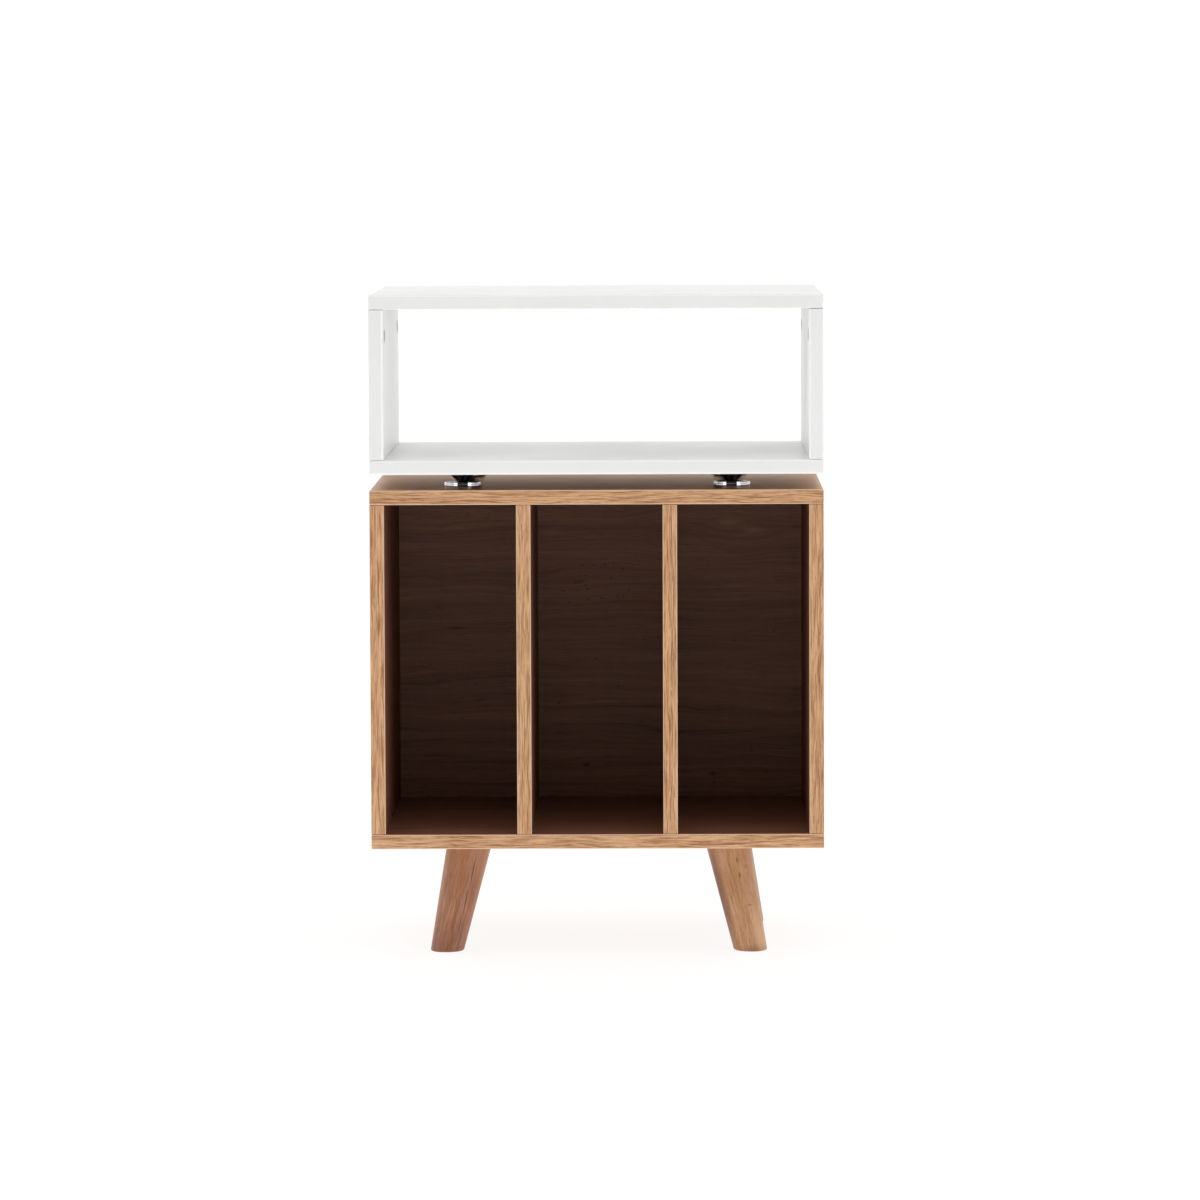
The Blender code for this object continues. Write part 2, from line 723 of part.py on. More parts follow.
def add_shelf_unit():
    """Makes the white shelf unit, which is open at the front and at the back."""
    full_width = (-HALF_WIDTH, HALF_WIDTH)
    full_depth = (FRONT, REAR)
    upright_span = (SHELF_FLOOR + SEAM, SHELF_CEILING - SEAM)
    eased = {"rounding": SHELF_ROUNDING, "steps": SHELF_ROUNDING_STEPS}
    top_span = (SHELF_CEILING, SHELF_TOP)
    bottom_span = (SHELF_UNDERSIDE, SHELF_FLOOR)
    top = board("shelf_top", full_width, full_depth, top_span, WHITE_LACQUER, **eased)
    bottom = board("shelf_bottom", full_width, full_depth, bottom_span, WHITE_LACQUER, **eased)
    sides = []
    for word, side in (("left", -1), ("right", 1)):
        x_span = sorted((side * (HALF_WIDTH - SHELF_BOARD), side * HALF_WIDTH))
        name = "shelf_side_" + word
        sides.append(board(name, x_span, full_depth, upright_span, WHITE_LACQUER, **eased))

    drum_holes, edge_holes, thread_holes = add_cam_locks(
        "shelf", SHELF_SIDE_MIDDLE, SHELF_BOARD, SHELF_CEILING, SHELF_CAM_DROP
    )
    screw_points = {
        "shelf_screw_" + corner: point
        for corner, point in corner_points(
            SHELF_SIDE_MIDDLE, SCREW_SETBACK, SHELF_UNDERSIDE
        ).items()
    }
    screw_holes = add_long_screws(screw_points)
    for side in sides:
        cut(side, drum_holes, edge_holes, screw_holes)
    uprights = list(zip(sides, (-SHELF_SIDE_MIDDLE, SHELF_SIDE_MIDDLE)))
    cut(top, thread_holes, glue_dowels(uprights, SHELF_CEILING))
    cut(bottom, screw_holes)
    return bottom


def cone_outline():
    """Gives the outline of a cone with its stud; height zero is the white underside."""
    dimple_floor = SEAM + DISC_HEIGHT - DISC_DIMPLE_DEPTH
    tip_height = dimple_floor + SEAM - SHELF_GAP
    tip = CONE_TIP_DIAMETER / 2
    rim = CONE_DIAMETER / 2
    stud = STUD_DIAMETER / 2
    return [
        (0, tip_height),
        (tip - CONE_TIP_ROUNDING, tip_height),
        (tip, tip_height + CONE_TIP_ROUNDING),
        (rim, -SEAM - CONE_RIM),
        (rim, -SEAM),
        (stud, -SEAM),
        (stud, STUD_LENGTH - STUD_TIP),
        (stud - STUD_TIP, STUD_LENGTH),
        (0, STUD_LENGTH),
    ]


def disc_outline():
    """Gives the outline of a disc with a dimple for the cone's tip; it stands at zero."""
    radius = DISC_DIAMETER / 2
    dimple = DISC_DIMPLE_DIAMETER / 2
    low = SEAM
    high = SEAM + DISC_HEIGHT
    return [
        (0, low),
        (radius - DISC_CHAMFER, low),
        (radius, low + DISC_CHAMFER),
        (radius, high - DISC_CHAMFER),
        (radius - DISC_CHAMFER, high),
        (dimple, high),
        (dimple - DISC_DIMPLE_DEPTH, high - DISC_DIMPLE_DEPTH),
        (0, high - DISC_DIMPLE_DEPTH),
    ]


def add_cone_feet(shelf_bottom):
    """Makes the cones under the white unit, their discs and the holes for their studs."""
    x = HALF_WIDTH - CONE_SETBACK_X
    studs = corner_points(x, CONE_SETBACK_Y, SHELF_UNDERSIDE)
    cone = turned_piece("isolation_cone", cone_outline(), BLACK_CHROME, CONE_SIDES)
    places = zip(studs, upright(studs.values()))
    copy_to(cone, {"isolation_cone_" + corner: place for corner, place in places})

    feet = corner_points(x, CONE_SETBACK_Y, CABINET_TOP)
    disc = turned_piece("cone_disc", disc_outline(), CHROME, CONE_SIDES)
    places = zip(feet, upright(feet.values()))
    copy_to(disc, {"cone_disc_" + corner: place for corner, place in places})

    stud_hole = hole(STUD_DIAMETER, STUD_LENGTH)
    cut(shelf_bottom, turned("cone_stud_holes", stud_hole, upside_down(studs.values())))


def main():
    """Builds the whole part."""
    clear_scene()
    cabinet_bottom = add_cabinet()
    add_legs(cabinet_bottom)
    shelf_bottom = add_shelf_unit()
    add_cone_feet(shelf_bottom)


main()
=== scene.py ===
"""Stereo cabinet: a wooden record cabinet on splayed legs under a white shelf unit.

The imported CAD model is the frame. Each board, strip, leg, foot, lock and screw that can be seen
gets a finer surface in the place of its CAD node, worked out with numpy in metres.
"""

import logging
import math
from dataclasses import dataclass, replace
from enum import Enum
from functools import cache

import bmesh
import bpy
import numpy as np
from mathutils import Matrix


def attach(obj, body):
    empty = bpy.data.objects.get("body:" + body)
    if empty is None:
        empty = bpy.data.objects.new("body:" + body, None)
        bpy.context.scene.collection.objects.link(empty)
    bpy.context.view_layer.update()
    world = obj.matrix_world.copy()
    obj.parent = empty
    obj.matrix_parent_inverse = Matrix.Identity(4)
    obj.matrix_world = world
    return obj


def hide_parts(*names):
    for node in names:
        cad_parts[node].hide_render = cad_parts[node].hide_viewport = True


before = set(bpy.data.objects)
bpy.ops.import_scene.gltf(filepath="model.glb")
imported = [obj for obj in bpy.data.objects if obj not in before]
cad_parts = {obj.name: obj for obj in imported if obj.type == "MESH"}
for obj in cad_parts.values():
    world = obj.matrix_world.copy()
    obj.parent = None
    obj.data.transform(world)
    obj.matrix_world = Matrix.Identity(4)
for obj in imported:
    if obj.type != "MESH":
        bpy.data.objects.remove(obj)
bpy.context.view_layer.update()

Array = np.ndarray
Point = tuple[float, float, float]
Span = tuple[float, float]
Material = bpy.types.Material
Mesh = bpy.types.Mesh
Socket = bpy.types.NodeSocket
Tree = bpy.types.NodeTree

log = logging.getLogger("stereo_cabinet")

MM = 0.001
WELD = 1e-7
SHARP_ANGLE = math.radians(35)
CORNERS = ("front_left", "front_right", "rear_left", "rear_right")
X, Y, Z = 0, 1, 2
UP = np.array((0.0, 0.0, 1.0))
UNTURNED = np.eye(3)

# How much of a face's normal lies along an axis where it is square to it, where it still counts
# as one of the inner faces, and where it starts to tilt.
SQUARE, INNER_FACE, TILTED = 0.999, 0.99, 0.02
# How far the boards, and then the faces of one board, lie apart in the endless grain, in metres.
GRAIN_SHIFT, GRAIN_DRIFT, FACE_SHIFT = 0.73, 0.41, 0.9
# How far from a board's edges and below its faces a bored face starts, and how wide the band at
# the object's two sides is in which arrises show no painted highlight.
BORE_MARGIN, BORE_DEPTH, SIDE_BAND = 3 * MM, 0.4 * MM, 6 * MM

# Sizes and levels that the parts share, in metres; the floor is at zero.
HALF_WIDTH, HALF_DEPTH = 0.250, 0.200
BOARD = 0.016
INNER = HALF_WIDTH - BOARD
SEAM = 0.0003
GAP = 0.017
COMPARTMENT, SHELF_CLEAR = 0.365, 0.166
CABINET_CAM_DROP, SHELF_CAM_DROP = 0.024, 0.030
CABINET_UNDERSIDE = 0.1235
CABINET_FLOOR = CABINET_UNDERSIDE + BOARD
CABINET_CEILING = CABINET_FLOOR + COMPARTMENT
CABINET_TOP = CABINET_CEILING + BOARD
SHELF_UNDERSIDE = CABINET_TOP + GAP
SHELF_FLOOR = SHELF_UNDERSIDE + BOARD
SHELF_CEILING = SHELF_FLOOR + SHELF_CLEAR
SHELF_TOP = SHELF_CEILING + BOARD


# Colours and nodes


def linear(code: str) -> tuple[float, ...]:
    """Turns an sRGB hex colour into linear light.

    Args:
        code: Six hex digits, such as "BE916B".

    Returns:
        Red, green, blue and an alpha of one.
    """
    srgb = np.array([int(code[place:place + 2], 16) for place in (0, 2, 4)]) / 255
    light = np.where(srgb <= 0.04045, srgb / 12.92, ((srgb + 0.055) / 1.055) ** 2.4)
    return (*light.tolist(), 1.0)


def add_node(
    tree: Tree, kind: str, inputs: dict | None = None, output: int | str = 0, **settings: str
) -> Socket | None:
    """Adds one node with its settings and links.

    Args:
        tree: The node tree that it goes into.
        kind: Blender's name for the node, without its first two words.
        inputs: By number or name, what feeds each input: a socket, a value or a hex colour.
        output: Number or name of the output that is wanted.
        settings: The node's own properties.

    Returns:
        The wanted output, if the node has outputs.
    """
    node = tree.nodes.new("ShaderNode" + kind)
    for name, value in settings.items():
        setattr(node, name, value)
    for key, value in (inputs or {}).items():
        if isinstance(value, Socket):
            tree.links.new(value, node.inputs[key])
        else:
            node.inputs[key].default_value = linear(value) if isinstance(value, str) else value
    return node.outputs[output] if node.outputs else None


def new_material(name: str) -> tuple[Material, Tree]:
    """Makes an empty node material.

    Args:
        name: Its name.

    Returns:
        The material and its tree.
    """
    material = bpy.data.materials.new(name)
    material.use_nodes = True
    material.node_tree.nodes.clear()
    return material, material.node_tree


def streaks(tree: Tree, place: Socket, size_mm: Span, seed: float, detail: float) -> Socket:
    """Draws noise that is long one way and narrow the other, as grain and tool marks are.

    Args:
        tree: The material's tree.
        place: Metres along the grain, across it and into it.
        size_mm: Length and width of one streak in millimetres.
        seed: Where in the endless noise this pattern is cut out.
        detail: How many finer layers the noise has.

    Returns:
        The noise, from 0 to 1 with its middle at 0.5.
    """
    length, width = (size * MM for size in size_mm)
    scaled = add_node(tree, "Mapping", {
        "Vector": place, "Location": (seed, 1.7 * seed, 0.3 * seed),
        "Scale": (1 / length, 1 / width, 1 / width),
    })
    return add_node(
        tree, "TexNoise", {"Vector": scaled, "Scale": 1.0, "Detail": detail, "Roughness": 0.55}
    )


def painted(tree: Tree, colour: Socket | str, layers: list[tuple[Socket, str]]) -> Socket:
    """Lays colours over a ground, each by its own share.

    Args:
        tree: The material's tree.
        colour: The ground's hex code.
        layers: A share from 0 to 1 and a hex code for each colour, the lowest first.

    Returns:
        The mixed colour.
    """
    for share, over in layers:
        colour = add_node(tree, "Mix", {0: share, 6: colour, 7: over}, 2, data_type="RGBA")
    return colour


def painted_edge_highlight(tree: Tree) -> Socket:
    """Gives how much of the painted highlight each arris shows, which each mesh holds."""
    return add_node(tree, "Attribute", {}, "Fac", attribute_name="arris")


class PatternSource(Enum):
    """Where a finish reads its place on the surface."""

    OWN_GRAIN = "grain"
    OBJECT = "object"

    def place(self, tree: Tree) -> Socket:
        """Gives the place on the surface in metres.

        Args:
            tree: The tree of a material.

        Returns:
            The place's socket.
        """
        if self is PatternSource.OBJECT:
            return add_node(tree, "TexCoord", {}, "Object")
        return add_node(tree, "Attribute", {}, "Vector", attribute_name=self.value)


def finish_surface(
    tree: Tree, skin: dict, height: Socket, relief_mm: float, gloss: Socket | None = None
) -> None:
    """Closes a material: its shader, its relief and its output.

    Args:
        tree: The material's tree.
        skin: The shader's inputs.
        height: The relief, from 0 to 1.
        relief_mm: How deep the relief is in millimetres.
        gloss: Colour of the reflections; without it, the shader's own plain ones.
    """
    bump = add_node(tree, "Bump", {"Strength": 1.0, "Distance": relief_mm * MM, "Height": height})
    shader = add_node(tree, "BsdfPrincipled", {**skin, "Normal": bump})
    if gloss is not None:
        shine = {"Color": gloss, "Roughness": skin["Roughness"], "Normal": bump}
        grazing = add_node(tree, "Fresnel", {"IOR": 1.5, "Normal": bump})
        shine = add_node(tree, "BsdfAnisotropic", shine)
        shader = add_node(tree, "MixShader", {0: grazing, 1: shader, 2: shine})
    add_node(tree, "OutputMaterial", {"Surface": shader})


# Finishes


@dataclass(frozen=True)
class KnotAndPaintedPatch:
    """A knot, a split or a lighter swirl, with the grain flowing round it.

    Its place is in metres along and across the grain, and sizes are (length, width) in
    millimetres. Over its size the grain is spread apart by the swell's share, and its heart is a
    soft spot in the wood's pore colour, or in its light one. On the legs, the broad soft ones
    without a swell are patches of painted light and painted shade.
    """

    along: float
    across: float
    heart_mm: Span
    strength: float = 0.8
    light: bool = False
    size_mm: Span = (0.0, 0.0)
    swell: float = 0.0

    def oval(self, tree: Tree, place: Socket, size_mm: Span, high: float) -> tuple[Socket, Socket]:
        """Makes a soft oval: one minus the smooth step of the distance from the knot's middle.

        Args:
            tree: The material's tree.
            place: The place on the surface.
            size_mm: The oval's length and width.
            high: The value in its middle.

        Returns:
            The oval, and the place measured from its middle in half sizes.
        """
        scale = (2 / (size_mm[0] * MM), 2 / (size_mm[1] * MM), 0.0)
        middle = (-self.along * scale[0], -self.across * scale[1], 0.0)
        near = add_node(tree, "Mapping", {"Vector": place, "Location": middle, "Scale": scale})
        distance = add_node(tree, "VectorMath", {0: near}, "Value", operation="LENGTH")
        fall = {0: distance, 1: 0.0, 2: 1.0, 3: high, 4: 0.0}
        return add_node(tree, "MapRange", fall, interpolation_type="SMOOTHSTEP"), near

    def spread_grain(self, tree: Tree, place: Socket, shift: Socket) -> Socket:
        """Adds the swell to the grain's shift: the oval times the distance across.

        Args:
            tree: The material's tree.
            place: The place on the surface.
            shift: How far the grain is shifted across already.

        Returns:
            The new shift.
        """
        if not self.swell:
            return shift
        oval, near = self.oval(tree, place, self.size_mm, -self.swell * self.size_mm[1] / 2 * MM)
        across = add_node(tree, "SeparateXYZ", {0: near}, Y)
        return add_node(tree, "Math", {0: across, 1: oval, 2: shift}, operation="MULTIPLY_ADD")


@dataclass(frozen=True)
class Wood:
    """A wood surface: long streaks that wander, fine dark pores, and knots.

    Streak sizes are (length, width) in millimetres. The colours run from the dark late wood
    through the middle to the light early wood, with the pores and hearts of knots darkest.
    A white gloss is the share of white in the reflections, whose rest is the wood's colour.
    The starts say where in the endless noise the wander, bands, lines and pores are cut out,
    and each noise span is the part of a noise that its effect grows over.
    """

    name: str
    dark: str
    middle: str
    light: str
    pore: str
    # The arris colour is a painted highlight on rounded edges wherever it is lighter than the
    # middle.
    arris: str
    wander_mm: Span
    wander_reach_mm: float
    bands_mm: Span
    lines_mm: Span
    pores_mm: Span
    band_share: float
    spread: float
    pore_depth: float
    roughness: Span
    relief_mm: float
    specular: float = 0.5
    white_gloss: float | None = None
    seed: float = 0.0
    knots: tuple[KnotAndPaintedPatch, ...] = ()
    starts: tuple[float, ...] = (3.1, 11.0, 23.0, 37.0)
    wander_noise: Span = (0.2, 0.8)
    line_noise: Span = (0.3, 0.7)
    pore_noise: Span = (0.57, 0.72)

    def material(self) -> Material:
        """Makes the wood's material.

        Returns:
            The node material.
        """
        material, tree = new_material(self.name)
        place = PatternSource.OWN_GRAIN.place(tree)
        wander_start, bands_start, lines_start, pores_start = (self.seed + at for at in self.starts)
        wander = streaks(tree, place, self.wander_mm, wander_start, 2.0)
        reach, (low, high) = self.wander_reach_mm * MM, self.wander_noise
        shift = add_node(tree, "MapRange", {0: wander, 1: low, 2: high, 3: -reach, 4: reach})
        for knot in self.knots:
            shift = knot.spread_grain(tree, place, shift)
        flow = add_node(tree, "VectorMath", {0: place, 1: add_node(tree, "CombineXYZ", {1: shift})})

        bands = streaks(tree, flow, self.bands_mm, bands_start, 3.0)
        lines = streaks(tree, flow, self.lines_mm, lines_start, 4.0)
        pores = streaks(tree, flow, self.pores_mm, pores_start, 1.0)
        tone = add_node(tree, "Mix", {0: self.band_share, 2: lines, 3: bands})
        late = add_node(tree, "MapRange", {0: tone, 1: 0.5 - self.spread, 2: 0.5, 3: 1.0, 4: 0.0})
        early = add_node(tree, "MapRange", {0: tone, 1: 0.5, 2: 0.5 + self.spread})
        low, high = self.pore_noise
        open_pore = add_node(tree, "MapRange", {0: pores, 1: low, 2: high, 4: self.pore_depth})
        layers = [(early, self.light), (late, self.dark), (open_pore, self.pore)]
        for knot in self.knots:
            heart, _ = knot.oval(tree, place, knot.heart_mm, knot.strength)
            layers.append((heart, self.light if knot.light else self.pore))
        # Rounded edges take the arris colour as a painted highlight.
        colour = painted(tree, self.middle, [*layers, (painted_edge_highlight(tree), self.arris)])

        gloss = None
        if self.white_gloss is not None:
            white = {0: self.white_gloss, 6: colour, 7: "FFFFFF"}
            gloss = add_node(tree, "Mix", white, 2, data_type="RGBA")
        low, high = self.line_noise
        smooth, dull = self.roughness
        rough = add_node(tree, "MapRange", {0: lines, 1: low, 2: high, 3: smooth, 4: dull})
        skin = {"Base Color": colour, "Roughness": rough, "Specular IOR Level": self.specular}
        height = add_node(tree, "Math", {0: tone, 1: open_pore}, operation="SUBTRACT")
        finish_surface(tree, skin, height, self.relief_mm, gloss)
        return material


@dataclass(frozen=True)
class Lacquer:
    """Satin lacquer sprayed on board: an even colour, faint cloudiness and orange peel."""

    name: str
    colour: str
    cloud: str
    # The arris colour is a painted highlight on rounded edges.
    arris: str
    roughness: Span
    cloud_mm: float = 90.0
    peel_mm: float = 2.2
    relief_mm: float = 0.006
    cloud_start: float = 5.0
    peel_start: float = 9.0
    tint_noise: Span = (0.4, 0.6)
    gloss_noise: Span = (0.35, 0.65)

    def material(self) -> Material:
        """Makes the lacquer's material.

        Returns:
            The node material.
        """
        material, tree = new_material(self.name)
        place = PatternSource.OWN_GRAIN.place(tree)
        cloud = streaks(tree, place, (self.cloud_mm, self.cloud_mm), self.cloud_start, 2.0)
        peel = streaks(tree, place, (self.peel_mm, self.peel_mm), self.peel_start, 1.0)
        low, high = self.tint_noise
        clouded = add_node(tree, "MapRange", {0: cloud, 1: low, 2: high})
        # Rounded edges take the arris colour as a painted highlight.
        layers = [(clouded, self.cloud), (painted_edge_highlight(tree), self.arris)]
        low, high = self.gloss_noise
        smooth, dull = self.roughness
        rough = add_node(tree, "MapRange", {0: cloud, 1: low, 2: high, 3: smooth, 4: dull})
        skin = {"Base Color": painted(tree, self.colour, layers), "Roughness": rough}
        finish_surface(tree, skin, peel, self.relief_mm)
        return material


@dataclass(frozen=True)
class Metal:
    """A metal surface: polished, turned, cast or plated.

    Marks are (length, width) in millimetres: long and narrow where a lathe left rings, round
    where it was cast. Stains are the slow changes of tint that plating and handling leave.
    """

    name: str
    colour: str
    stain: str
    marks_mm: Span
    stain_mm: float
    roughness: Span
    relief_mm: float
    source: PatternSource = PatternSource.OWN_GRAIN
    marks_start: float = 2.0
    stain_start: float = 7.0
    stain_noise: Span = (0.4, 0.65)
    marks_noise: Span = (0.3, 0.7)

    def material(self) -> Material:
        """Makes the metal's material.

        Returns:
            The node material.
        """
        material, tree = new_material(self.name)
        place = self.source.place(tree)
        marks = streaks(tree, place, self.marks_mm, self.marks_start, 2.0)
        stain = streaks(tree, place, (self.stain_mm, self.stain_mm), self.stain_start, 2.0)
        low, high = self.stain_noise
        stained = add_node(tree, "MapRange", {0: stain, 1: low, 2: high})
        colour = painted(tree, self.colour, [(stained, self.stain)])
        low, high = self.marks_noise
        smooth, dull = self.roughness
        rough = add_node(tree, "MapRange", {0: marks, 1: low, 2: high, 3: smooth, 4: dull})
        skin = {"Base Color": colour, "Roughness": rough, "Metallic": 1.0}
        finish_surface(tree, skin, marks, self.relief_mm)
        return material


Finish = Wood | Lacquer | Metal


@cache
def material_of(finish: Finish) -> Material:
    """Makes a finish's material once, however many pieces wear it."""
    return finish.material()


# Oak strip, cut and brushed: light tan with wavy dark late wood and fine open pores.
# Its lighter arris colour is a painted highlight on the rounded edges.
OAK_STRIP = Wood(
    "oak_strip_brushed",
    dark="98663E", middle="CB9A6D", light="E2B38A", pore="80563A", arris="E6C2A2",
    wander_mm=(80, 20), wander_reach_mm=2.2, bands_mm=(80, 3.2), lines_mm=(32, 1.15),
    pores_mm=(12, 0.8), band_share=0.3, spread=0.12, pore_depth=0.65,
    roughness=(0.38, 0.52), relief_mm=0.04, seed=1.0,
)
# Oak laminate, pressed and satin: wider, calmer figure than the strip's, the same colour.
# Its lighter arris colour is a painted highlight on the rounded edges.
OAK_LAMINATE = Wood(
    "oak_laminate_satin",
    dark="A5774F", middle="BB8F67", light="CEA47C", pore="8A6040", arris="C49A76",
    wander_mm=(210, 60), wander_reach_mm=14.0, bands_mm=(260, 9.0), lines_mm=(90, 2.2),
    pores_mm=(12, 0.7), band_share=0.55, spread=0.18, pore_depth=0.3,
    roughness=(0.16, 0.25), relief_mm=0.01, specular=0.0, white_gloss=0.32, seed=2.0,
)
# Walnut laminate, pressed and satin: brown, nearly straight fine grain with small knots.
# Its dark brown is partly the wood's own and partly painted shade deep in the compartments.
WALNUT_AND_SHADE_LAMINATE = Wood(
    "walnut_laminate_satin_and_painted_shade",
    dark="6C4532", middle="885A44", light="9C6B52", pore="4C3024", arris="885A44",
    wander_mm=(260, 70), wander_reach_mm=12.0, bands_mm=(300, 16.0), lines_mm=(120, 2.4),
    pores_mm=(18, 0.8), band_share=0.5, spread=0.2, pore_depth=0.4,
    roughness=(0.45, 0.6), relief_mm=0.03, specular=0.35, seed=3.0,
)
# Small dark knots of the back panel, in millimetres along its grain and across it.
BACK_PIPS_MM = (
    (-21, 1310), (-8, 1311), (5, 1311), (15, 1313), (26, 1306), (-17, 1298), (12, 1295),
    (-17, 1287), (-15, 1282), (-43, 1280), (-36, 1267), (-15, 1270), (1, 1272), (20, 1274),
    (27, 1274), (33, 1281), (-154, 1371), (-145, 1172), (-198, 1195), (-162, 1131), (-49, 1149),
    (21, 1169), (-6, 1201), (51, 1223), (155, 1222), (202, 1233), (132, 1056), (176, 1093),
)
# The back panel's sheet of the same laminate: a cluster of small knots, two larger ones, one
# split and three light swirls near the top.
WALNUT_BACK = replace(
    WALNUT_AND_SHADE_LAMINATE,
    name="walnut_laminate_knotty",
    dark="805A46", middle="A4775E", light="BA8C70",
    knots=(
        *(KnotAndPaintedPatch(x * MM, z * MM, (5.0, 3.4), 0.75) for x, z in BACK_PIPS_MM),
        KnotAndPaintedPatch(-0.017, 1.077, (15, 9), 0.8, size_mm=(70, 30), swell=0.7),
        KnotAndPaintedPatch(0.130, 1.066, (17, 8), 0.6, size_mm=(60, 26), swell=0.6),
        KnotAndPaintedPatch(-0.030, 1.290, (4, 3), 0.4, size_mm=(90, 70), swell=0.5),
        KnotAndPaintedPatch(-0.169, 1.237, (46, 3.6), 0.8, size_mm=(80, 14), swell=0.4),
        KnotAndPaintedPatch(-0.186, 1.088, (150, 6), 0.4),
        KnotAndPaintedPatch(0.150, 1.360, (50, 14), 0.8, light=True, size_mm=(90, 40), swell=0.5),
        KnotAndPaintedPatch(0.177, 1.351, (46, 12), 0.8, light=True, size_mm=(70, 30), swell=0.4),
        KnotAndPaintedPatch(-0.056, 1.349, (44, 12), 0.6, light=True, size_mm=(80, 30), swell=0.4),
    ),
)
# Satin lacquer, sprayed white: softly bright, with the faintest orange peel.
# Its white arris colour is a painted highlight on the rounded edges.
WHITE_LACQUER = Lacquer("white_lacquer_sprayed", "F4F4F3", "F2F2F0", "FFFFFF", (0.30, 0.38))
# Chipboard where a bit has bored or sawn it: coarse brown flakes, quite dull.
# Its dark browns are partly the core's own and partly painted shade in holes and grooves.
BORED_CORE_AND_SHADE = Wood(
    "chipboard_bored_and_painted_shade",
    dark="4A3626", middle="6B5138", light="8A6C4C", pore="33241A", arris="6B5138",
    wander_mm=(6, 5), wander_reach_mm=1.5, bands_mm=(3.5, 1.6), lines_mm=(1.8, 0.8),
    pores_mm=(1.4, 0.9), band_share=0.5, spread=0.12, pore_depth=0.7,
    roughness=(0.75, 0.9), relief_mm=0.15, specular=0.2, seed=9.0,
)
# Black chrome, plated over turned steel: deep and sharp, with fine rings.
BLACK_CHROME = Metal("black_chrome_turned", "6E6E72", "606064", (40, 0.25), 6, (0.12, 0.22), 0.004)
# Chrome, plated over turned steel: mirror bright, with fine rings.
CHROME = Metal("chrome_turned", "DDDDE0", "D2D2D6", (40, 0.25), 8, (0.06, 0.12), 0.004)
# Zinc alloy, die cast: dull grey with a fine grainy skin.
CAST_ZINC = Metal("zinc_die_cast", "6A6A6E", "56565A", (0.7, 0.7), 5, (0.40, 0.55), 0.02)
# Steel, zinc plated: pale blue grey with faint yellow stains.
PLATED_STEEL = Metal("steel_zinc_plated", "B9BBC2", "C4BCA6", (1.5, 0.5), 4, (0.26, 0.38), 0.01)
# The same steel for the bolts that stay as the CAD made them.
BOLT_STEEL = replace(PLATED_STEEL, name="bolt_steel_zinc_plated", source=PatternSource.OBJECT)


def leg_wood(name: str, dark: str, middle: str, light: str, seed: float, *knots: KnotAndPaintedPatch) -> Wood:
    """Gives solid acacia, turned and oiled: lively fine grain, a few knots, a soft sheen.

    Args:
        name: The leg's place.
        dark: Hex colour of the late wood.
        middle: Hex colour in between.
        light: Hex colour of the early wood.
        seed: Which piece of wood it was cut from.
        knots: The knots in this leg, and broad soft patches of painted light and painted shade.

    Returns:
        The leg's finish.
    """
    return Wood(
        "acacia_oiled_" + name,
        dark=dark, middle=middle, light=light, pore="5E2F1C", arris=middle,
        wander_mm=(80, 24), wander_reach_mm=1.8, bands_mm=(110, 8.0), lines_mm=(30, 1.7),
        pores_mm=(7, 0.9), band_share=0.42, spread=0.24, pore_depth=0.34,
        roughness=(0.34, 0.46), relief_mm=0.03, seed=seed, knots=knots,
    )


LEG_WOODS = {
    "front_left": leg_wood(
        "front_left", "7E4E34", "A87354", "C89B76", 41.0,
        # Painted light at the top of the leg and painted shade at its foot, as broad soft patches.
        KnotAndPaintedPatch(0.130, 0.0, (130, 160), 0.45, light=True), KnotAndPaintedPatch(-0.004, 0.0, (110, 120), 0.4),
        KnotAndPaintedPatch(0.090, 0.0104, (52, 2.6), 1.0), KnotAndPaintedPatch(0.058, 0.0093, (50, 2.4), 1.0),
        KnotAndPaintedPatch(0.028, 0.0082, (46, 2.0), 0.9),
    ),
    "front_right": leg_wood(
        "front_right", "976238", "BC8D63", "DDB28C", 53.0,
        # Painted light at the top of the leg and a painted contact shadow at its foot.
        KnotAndPaintedPatch(0.125, 0.0, (120, 160), 0.3, light=True), KnotAndPaintedPatch(-0.006, 0.0, (26, 90), 0.5),
        KnotAndPaintedPatch(0.0995, 0.0060, (10, 4.2), 0.6, size_mm=(26, 12), swell=0.6),
        KnotAndPaintedPatch(0.0910, 0.0137, (8, 3.6), 0.5, size_mm=(22, 12), swell=0.6),
        KnotAndPaintedPatch(0.0830, 0.0054, (10, 4.6), 0.65, size_mm=(26, 12), swell=0.6),
        KnotAndPaintedPatch(0.0478, 0.0098, (4, 8.0), 0.6, size_mm=(18, 14), swell=0.5),
        # A painted highlight low on one side of the leg and painted shade down its other side.
        KnotAndPaintedPatch(0.016, 0.0135, (90, 15), 0.75, light=True), KnotAndPaintedPatch(0.060, -0.0215, (250, 22), 0.85),
    ),
    "rear_left": leg_wood("rear_left", "8E5534", "B07C5B", "CB9A77", 67.0),
    "rear_right": leg_wood("rear_right", "87502F", "A97354", "C28C6C", 79.0),
}


# Surfaces


@dataclass
class Surface:
    """Points and faces of one closed surface, before it becomes a piece."""

    points: Array
    faces: list[list[int]]

    def moved(self, origin: Array, turn: Array = UNTURNED) -> "Surface":
        """Gives a copy whose points are turned by a matrix and then carried to a point."""
        return Surface(self.points @ turn.T + origin, self.faces)


